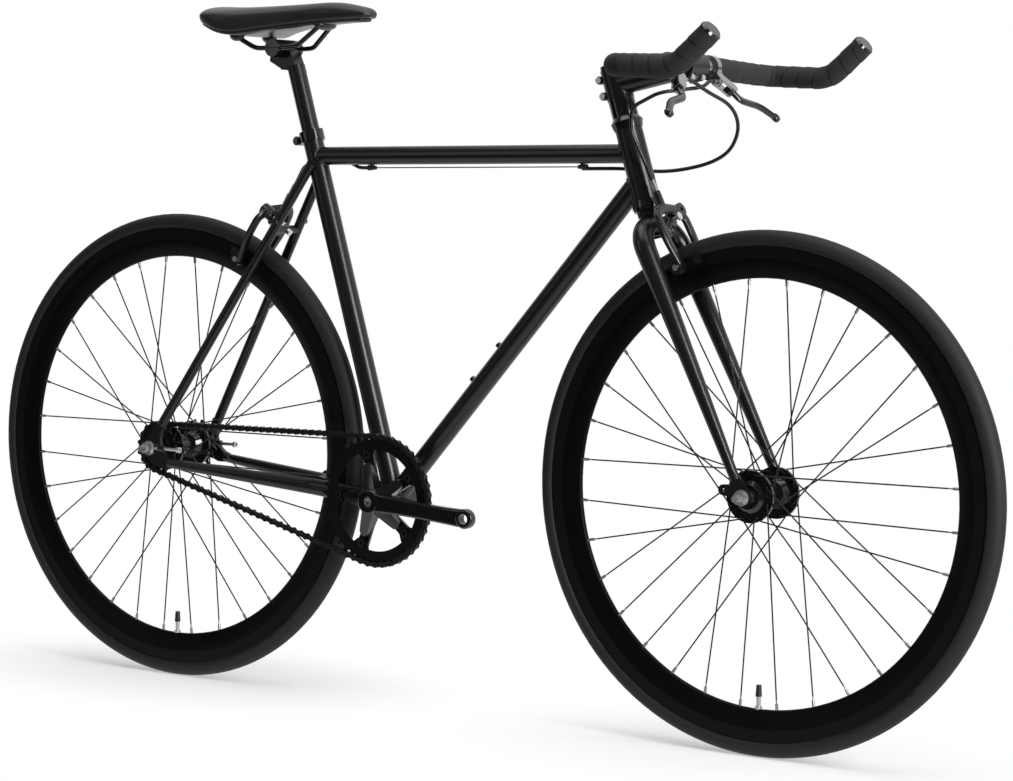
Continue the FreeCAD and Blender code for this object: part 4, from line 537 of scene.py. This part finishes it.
# Each row in millimetres: behind the nose, half width, top of the crown, edge, underside
SADDLE_ROWS = [(0.6, 7.0, 964.0, 961.0, 957.5),
               (5.0, 13.0, 968.0, 963.0, 956.0),
               (14.0, 18.0, 971.5, 964.0, 955.0),
               (60.0, 22.0, 979.0, 967.5, 953.0),
               (115.0, 30.0, 977.5, 966.5, 949.0),
               (165.0, 47.0, 975.5, 964.5, 943.0),
               (205.0, 65.0, 974.5, 962.0, 936.5),
               (234.0, 69.5, 975.0, 961.5, 940.0),
               (260.0, 65.0, 976.0, 962.5, 949.5),
               (270.0, 55.0, 974.5, 963.0, 954.5),
               (274.4, 44.0, 971.5, 963.0, 957.5)]
ROWS_BETWEEN = 3


def mm(x, y, z):
    """A point given in millimetres."""
    return Vector((x, y, z)) / 1000


def refined(rows, count):
    """More rows, on smooth curves through the given ones."""
    padded = [rows[0]] + rows + [rows[-1]]
    fine = []
    for before, one, two, after in zip(padded, padded[1:], padded[2:], padded[3:]):
        for k in range(count):
            t = k / count
            fine.append([b + t * (c - a) / 2 + t * t * (a - 2.5 * b + 2 * c - d / 2)
                         + t ** 3 * (1.5 * (b - c) + (d - a) / 2)
                         for a, b, c, d in zip(before, one, two, after)])
    return fine + [rows[-1]]


def saddle_ring(half, top, edge, under):
    """Half of a cross section, from the crown round the rolled edge to the middle of the underside."""
    fall = top - edge
    side = edge - under
    crown = [(0, top), (0.30 * half, top - 0.05 * fall), (0.58 * half, top - 0.22 * fall),
             (0.80 * half, top - 0.48 * fall), (0.94 * half, top - 0.80 * fall)]
    rolled_edge = [(half, edge - 0.10 * side), (half - 0.6, edge - 0.45 * side),
                   (half - 2.2, edge - 0.80 * side)]
    underside = [(half - 4.2, under), (half - 7.0, under + 0.4), (0.4 * half, under + 0.6), (0, under + 0.6)]
    return crown + rolled_edge + underside


def whole_ring(back, left):
    """A full cross section at a place behind the nose, from its left half."""
    loop = left + [(-y, z) for y, z in left[-2:0:-1]]
    return [mm(SADDLE_NOSE - back, y, z) for y, z in loop]


saddle_rings = [whole_ring(back, saddle_ring(*section))
                for back, *section in refined(SADDLE_ROWS, ROWS_BETWEEN)]
print("saddle rows:", len(saddle_rings))

# %% [markdown]
# Many pieces here are rings joined by faces, so one function skins any list of rings. A loft made with
# modifiers would do too, but bmesh keeps every point where the sums put it.


# %% Skin the padding
def skin(name, rings, closed_ends=True):
    """A mesh through rings of points, with a face over each end."""
    mesh = bmesh.new()
    rows = [[mesh.verts.new(point) for point in ring] for ring in rings]
    for one, two in zip(rows, rows[1:]):
        for k in range(len(one)):
            mesh.faces.new((one[k], one[(k + 1) % len(one)], two[(k + 1) % len(one)], two[k]))
    if closed_ends:
        mesh.faces.new(rows[0][::-1])
        mesh.faces.new(rows[-1])
    bmesh.ops.recalc_face_normals(mesh, faces=mesh.faces)
    data = bpy.data.meshes.new(name)
    mesh.to_mesh(data)
    mesh.free()
    data.polygons.foreach_set("use_smooth", [True] * len(data.polygons))
    return put(name, data)


saddle = skin("saddle_padding", saddle_rings)
rounding = saddle.modifiers.new("rounding", "SUBSURF")
rounding.levels = 1
rounding.render_levels = 1
saddle.data.materials.append(vinyl.material)
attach(saddle, "seat")
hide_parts("saddle_cover")
print("saddle points:", len(saddle.data.vertices))

# %% [markdown]
# Under the padding lies a stiff moulded base. The rails end in round swellings of it, two behind and one
# across the nose. The base is skinned from the same rows as the padding, and each swelling is a flattened
# ball that sinks into it.

# %% Saddle base
BASE_INSET = 5.0
BASE_DEPTH = 4.0
BASE_ROWS = SADDLE_ROWS[2:-2]
BALL_LEVELS = 12
BALL_POINTS = 24
NOSE_SOCKET = (-229, 0, 947.5)
NOSE_SOCKET_RADII = (11, 22, 7.5)
REAR_SOCKETS = {"left": (-359, 36, 933), "right": (-359, -36, 933)}
REAR_SOCKET_RADII = (12, 9, 8)


def base_ring(half, under):
    """Half of a cross section of the base, from the padding round to the middle of its underside."""
    wide = half - BASE_INSET
    return [(0, under + 1), (wide, under + 1), (wide - 0.8, under - 0.55 * BASE_DEPTH),
            (wide - 4, under - 0.9 * BASE_DEPTH), (0.5 * wide, under - BASE_DEPTH), (0, under - BASE_DEPTH)]


def swelling(name, centre, radii):
    """A flattened ball made of level rings."""
    turns = [2 * math.pi * j / BALL_POINTS for j in range(BALL_POINTS)]
    rings = []
    for k in range(1, BALL_LEVELS):
        lift = -math.cos(math.pi * k / BALL_LEVELS)
        spread = math.sin(math.pi * k / BALL_LEVELS)
        rings.append([mm(centre[0] + radii[0] * spread * math.cos(t),
                         centre[1] + radii[1] * spread * math.sin(t),
                         centre[2] + radii[2] * lift) for t in turns])
    return skin(name, rings)


base_rings = [whole_ring(back, base_ring(half, under))
              for back, half, _, _, under in refined(BASE_ROWS, ROWS_BETWEEN)]
saddle_base = skin("saddle_base", base_rings)
sockets = [swelling("rail_socket_nose", NOSE_SOCKET, NOSE_SOCKET_RADII)]
sockets += [swelling("rail_socket_" + side, centre, REAR_SOCKET_RADII)
            for side, centre in REAR_SOCKETS.items()]
for piece in [saddle_base] + sockets:
    piece.data.materials.append(plastic.material)
    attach(piece, "seat")
    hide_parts("saddle_shell")
print("base pieces:", 1 + len(sockets))

# %% [markdown]
# ## The line of the bar
# The bar runs flat from the stem, turns forward at a corner and rises into a horn. The tape follows the
# bar's middle line, so that line is worked out first: straight runs joined by arcs, as a tube bender makes
# them, cut into short even steps.

# %% Bar line
BAR_CENTRE = mm(369.275, 0, 886.234)
FLAT_END = BAR_CENTRE + mm(0, 34, 0)
CORNER = BAR_CENTRE + mm(0, 196, -6)
HORN = CORNER + mm(98, 0, -4)
HORN_RISE = math.radians(41)
HORN_LENGTH = 0.067
TIP = HORN + Vector((math.cos(HORN_RISE), 0, math.sin(HORN_RISE))) * HORN_LENGTH
CORNER_BEND = 0.026
HORN_BEND = 0.048
TAPE_START = 0.026
TAPE_STEP = 0.0011
ARC_STEPS = 24


def rounded_line(points, bends, step):
    """Points along straight runs that are joined by arcs, evenly spaced."""
    raw = [points[0]]
    for before, corner, after, bend in zip(points, points[1:], points[2:], bends):
        into = (corner - before).normalized()
        out = (after - corner).normalized()
        turn = into.angle(out)
        setback = bend * math.tan(turn / 2)
        centre = corner + (out - into).normalized() * (bend / math.cos(turn / 2))
        start = corner - into * setback - centre
        axis = into.cross(out)
        raw += [centre + Matrix.Rotation(turn * k / ARC_STEPS, 3, axis) @ start for k in range(ARC_STEPS + 1)]
    raw.append(points[-1])
    line = []
    spare = 0.0
    for one, two in zip(raw, raw[1:]):
        length = (two - one).length
        while spare <= length:
            line.append(one.lerp(two, spare / length))
            spare += step
        spare -= length
    return line


tape_start = FLAT_END + (CORNER - FLAT_END).normalized() * TAPE_START
bar_line = rounded_line([tape_start, CORNER, HORN, TIP], [CORNER_BEND, HORN_BEND], TAPE_STEP)
print("taped length:", round(len(bar_line) * TAPE_STEP, 3), "m")

# %% [markdown]
# ## The wound tape
# Tape goes round the bar like a bandage: each turn lies half over the last, so its edge shows as a step that
# climbs round the bar. A plain tube with a bump would look flat at the outline, so the tube's own radius
# follows the winding: it drops slowly along each turn and steps up at the next edge. Near the lever the
# turns lie close together.

# %% Tape
TAPE_RADIUS = 0.0148
TAPE_TURN = 0.0235
TAPE_EDGE = 0.0008
TAPE_GROOVE = 0.0007
GROOVE_SHARE = 0.035
CLOSE_TURN = 0.0072
CLOSE_LENGTH = 0.030
TAPE_POINTS = 72


def tape_height(distance, angle):
    """How far the wound surface lies below the thickest place, at a distance along the bar."""
    turn = CLOSE_TURN if distance < CLOSE_LENGTH else TAPE_TURN
    phase = (distance / turn + angle / (2 * math.pi)) % 1.0
    groove = math.exp(-(min(phase, 1 - phase) / GROOVE_SHARE) ** 2)
    return TAPE_EDGE * phase + TAPE_GROOVE * groove


def tape(side):
    """One side's tape, from near the brake lever to the bar's end."""
    rings = []
    sideways = Vector((0, 0, 1))
    last = len(bar_line) - 1
    for k, point in enumerate(bar_line):
        way = (bar_line[min(k + 1, last)] - bar_line[max(k - 1, 0)]).normalized()
        sideways = (sideways - way * sideways.dot(way)).normalized()
        other = way.cross(sideways)
        ring = []
        for j in range(TAPE_POINTS):
            angle = 2 * math.pi * j / TAPE_POINTS
            radius = TAPE_RADIUS - tape_height(k * TAPE_STEP, angle)
            place = point + (sideways * math.cos(angle) + other * math.sin(angle)) * radius
            ring.append(Vector((place.x, side * place.y, place.z)))
        rings.append(ring)
    piece = skin("bar_tape_left" if side > 0 else "bar_tape_right", rings)
    piece.data.materials.append(tape_foam.material)
    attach(piece, "fork")
    return piece


left_tape = tape(1)
right_tape = tape(-1)
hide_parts("bar_tapes")
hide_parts("bar_tapes")
print("tape points:", len(left_tape.data.vertices))

# %% [markdown]
# ## The brake housing that has to bend
# The housing from the right lever to the top tube crosses the steering, where the real one bends as the bar
# turns. It is a curve along the route of its solid, turned into a mesh.

# %% Rear housing loop
HOUSING_RADIUS = 0.0025
# The route in millimetres, from the lever to the stop under the top tube
LOOP = [(384.5, -33.8, 867.5), (384.5, -19.8, 867.5), (395, 2, 853), (410, 44, 836), (411, 62, 803),
        (390, 57, 766), (318, 40, 748), (268, 14, 753), (229, 0, 752.3), (207.1, 0, 751.9)]


def housing(name, points, radius):
    """A smooth tube that rounds the route's corners."""
    curve = bpy.data.curves.new(name, "CURVE")
    curve.dimensions = "3D"
    curve.bevel_depth = radius
    curve.bevel_resolution = 6
    curve.resolution_u = 16
    curve.use_fill_caps = True
    spline = curve.splines.new("NURBS")
    spline.points.add(len(points) - 1)
    for target, point in zip(spline.points, points):
        target.co = (*mm(*point), 1)
    spline.order_u = 3
    spline.use_endpoint_u = True
    return put(name, curve)


loop_curve = housing("rear_housing_loop", LOOP, HOUSING_RADIUS)
loop_mesh = bpy.data.meshes.new_from_object(loop_curve.evaluated_get(bpy.context.evaluated_depsgraph_get()))
loop_mesh.materials.append(plastic.material)
bpy.data.objects.remove(loop_curve)
loop = put("rear_housing_loop", loop_mesh)
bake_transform(loop)
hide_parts("rear_cable_loop")
print("housing points:", len(loop_mesh.vertices))

# %% [markdown]
# ## Weld beads
# Where a tube meets another, the frame has a smooth round seam. It follows the curve where the two cylinders
# cross: for each line along the joining tube, the crossing with the other tube is one square root. A thin
# ring of that shape, half sunk into both tubes, gives the seam.

# %% Seams where tubes meet
BEAD_POINTS = 96
BEAD_SIDES = 10


def crossing(host, host_way, host_radius, foot, way, radius, angle):
    """Where a line on the joining tube's surface meets the host tube."""
    side = way.orthogonal().normalized()
    other = way.cross(side)
    start = foot + (side * math.cos(angle) + other * math.sin(angle)) * radius - host
    flat_start = start - host_way * start.dot(host_way)
    flat_way = way - host_way * way.dot(host_way)
    a = flat_way.dot(flat_way)
    b = 2 * flat_start.dot(flat_way)
    c = flat_start.dot(flat_start) - host_radius ** 2
    reach = b * b - 4 * a * c
    return None if reach < 0 else start + host + way * ((-b + math.sqrt(reach)) / (2 * a))


def bead(host, host_way, host_radius, foot, way, radius, thick):
    """A closed ring of small circles along the crossing of two tubes."""
    angles = [2 * math.pi * k / BEAD_POINTS for k in range(BEAD_POINTS)]
    line = [crossing(host, host_way, host_radius, foot, way, radius, angle) for angle in angles]
    line = [point for point in line if point is not None]
    turns = [2 * math.pi * j / BEAD_SIDES for j in range(BEAD_SIDES)]
    rings = []
    for k, point in enumerate(line):
        tangent = (line[(k + 1) % len(line)] - line[k - 1]).normalized()
        side = (way - tangent * way.dot(tangent)).normalized()
        other = tangent.cross(side)
        rings.append([point + (side * math.cos(t) + other * math.sin(t)) * thick for t in turns])
    return rings


print("places tried round a seam:", BEAD_POINTS)

# %% [markdown]
# The five seams need the frame's own lines: the head tube leans back by the steering angle, the seat tube by
# its own, and the bottom bracket shell lies across. Top tube and down tube follow from where they meet these.

# %% The frame's seams
CROWN = mm(314.826, 0, 691.371)
SHELL = mm(-95.894, 0, 290.3)
HEAD_ANGLE = math.radians(72)
SEAT_ANGLE = math.radians(72.9)
HEAD_ABOVE_CROWN = 0.0213
TOP_ABOVE_HEAD = 0.064
DOWN_ABOVE_HEAD = 0.0295
TOP_UP_SEAT = 0.496
HEAD_RADIUS = 0.018
SHELL_RADIUS = 0.020
SEAT_RADIUS = 0.0143
TOP_RADIUS = 0.0127
DOWN_RADIUS = 0.0143
HEAD_BEAD = 0.0019
REAR_BEAD = 0.0018
steer_way = Vector((-math.cos(HEAD_ANGLE), 0, math.sin(HEAD_ANGLE)))
seat_way = Vector((-math.cos(SEAT_ANGLE), 0, math.sin(SEAT_ANGLE)))
shell_way = Vector((0, 1, 0))
head_low = CROWN + steer_way * HEAD_ABOVE_CROWN
top_front = head_low + steer_way * TOP_ABOVE_HEAD
top_rear = SHELL + seat_way * TOP_UP_SEAT
down_front = head_low + steer_way * DOWN_ABOVE_HEAD
top_way = (top_front - top_rear).normalized()
down_way = (down_front - SHELL).normalized()
beads = [bead(head_low, steer_way, HEAD_RADIUS, top_front, -top_way, TOP_RADIUS, HEAD_BEAD),
         bead(head_low, steer_way, HEAD_RADIUS, down_front, -down_way, DOWN_RADIUS, HEAD_BEAD),
         bead(SHELL, seat_way, SEAT_RADIUS, top_rear, top_way, TOP_RADIUS, REAR_BEAD),
         bead(SHELL, shell_way, SHELL_RADIUS, SHELL, seat_way, SEAT_RADIUS, REAR_BEAD),
         bead(SHELL, shell_way, SHELL_RADIUS, SHELL, down_way, DOWN_RADIUS, REAR_BEAD)]
for number, rings in enumerate(beads):
    seam = skin("weld_bead_%d" % number, rings + rings[:1], closed_ends=False)
    seam.data.materials.append(paint.material)
    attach(seam, "frame")
print("weld beads:", len(beads))

# %% [markdown]
# ## The floor
# The floor lies under the tyres. To the camera it is white, apart from a soft shadow below each wheel, where
# some of its own shading shows. For light and reflections it is a white sheet near the bicycle; on the
# viewer's side its colour is painted nearly black, a painted shade that stands in for a dark room, so black
# faces that look towards the viewer stay black.

# %% Floor
FLOOR_HALF = 30
SHEET_END = -1.15
SHEET_FULL = -0.35
# Painted shade: the floor's nearly black colour on the viewer's side, standing in for a dark room.
PAINTED_SHADE_TONE = 0.06
SHEET_TONE = 0.92
SHADOW_ALONG = 2.0
SHADOW_ACROSS = 3.4
SHADOW_INNER = 0.15
SHADOW_OUTER = 1.0
SHADOW_DEEPEST = 0.42
WHITE = (1, 1, 1, 1)

corners = [(x * FLOOR_HALF, y * FLOOR_HALF, 0) for x, y in ((-1, -1), (1, -1), (1, 1), (-1, 1))]
floor_mesh = bpy.data.meshes.new("floor")
floor_mesh.from_pydata(corners, [], [(0, 1, 2, 3)])
floor = put("floor", floor_mesh)
white_floor = Finish("white_floor", Roughness=0.9, Specular_IOR_Level=0.0)
seen, mirrored = white_floor.rays()
glow = white_floor.node("ShaderNodeEmission", inputs={"Color": WHITE, "Strength": 1.0})
along, across, _ = white_floor.axes()
sheet = white_floor.smooth_step(across, SHEET_END, SHEET_FULL)
# The floor's colour: painted shade on the viewer's side, pale near the bicycle.
white_floor.vary(Base_Color=white_floor.between(sheet, grey(PAINTED_SHADE_TONE), grey(SHEET_TONE)))
clear = 1.0
for axle in AXLES.values():
    away = (((along - axle.x) * SHADOW_ALONG).power(2.0) + (across * SHADOW_ACROSS).power(2.0)).power(0.5)
    clear = white_floor.smooth_step(away, SHADOW_INNER, SHADOW_OUTER, SHADOW_DEEPEST, 1.0) * clear
white_floor.surface(seen * clear + mirrored * sheet, white_floor.shaded(), glow)
floor_mesh.materials.append(white_floor.material)
print("floor:", 2 * FLOOR_HALF, "m wide")

# %% [markdown]
# ## Lamps
# A wide lamp overhead lights the whole bicycle softly. A tall one to the right of the camera draws the long
# bright lines on the tubes, and a weak one from the left keeps the other edge from going quite black.


# %% Lamps
def lamp(name, place, aim, width, height, watts):
    """A soft rectangular lamp that faces a point."""
    data = bpy.data.lights.new(name, "AREA")
    data.shape = "RECTANGLE"
    data.size = width
    data.size_y = height
    data.energy = watts
    body = put(name, data)
    body.location = place
    body.rotation_euler = (Vector(aim) - Vector(place)).to_track_quat("-Z", "Y").to_euler()


lamp("overhead", place=(0.3, -0.4, 3.6), aim=(0, 0, 0.4), width=4.0, height=3.0, watts=90)
lamp("right_side", place=(4.1, -1.2, 1.6), aim=(0, 0, 0.6), width=1.0, height=2.8, watts=210)
lamp("left_side", place=(-2.6, -3.6, 1.8), aim=(0, 0, 0.5), width=1.0, height=2.4, watts=9)
print("lamps:", len(bpy.data.lights))

# %% [markdown]
# ## The background
# The world is white to the camera, and also to shiny and clear things where they look to the far side of
# the bicycle. Everything else gets only a weak even light from it, so that the lamps shape the tubes.

# %% Background
ROOM_LIGHT = 0.12
BACKDROP_LIGHT = 1.0
BACKDROP_END = -0.2
BACKDROP_FULL = 0.4

world = bpy.data.worlds.new("studio")
bpy.context.scene.world = world
world.use_nodes = True
sky = Net(world.node_tree)
room, backdrop = [sky.node("ShaderNodeBackground", inputs={"Color": WHITE, "Strength": strength})
                  for strength in (ROOM_LIGHT, BACKDROP_LIGHT)]
seen, mirrored = sky.rays()
_, far_side, _ = sky.axes("Generated")
sky.surface(seen + mirrored * sky.smooth_step(far_side, BACKDROP_END, BACKDROP_FULL), room, backdrop)
bpy.context.scene.view_settings.view_transform = "Standard"
print("room light:", ROOM_LIGHT)
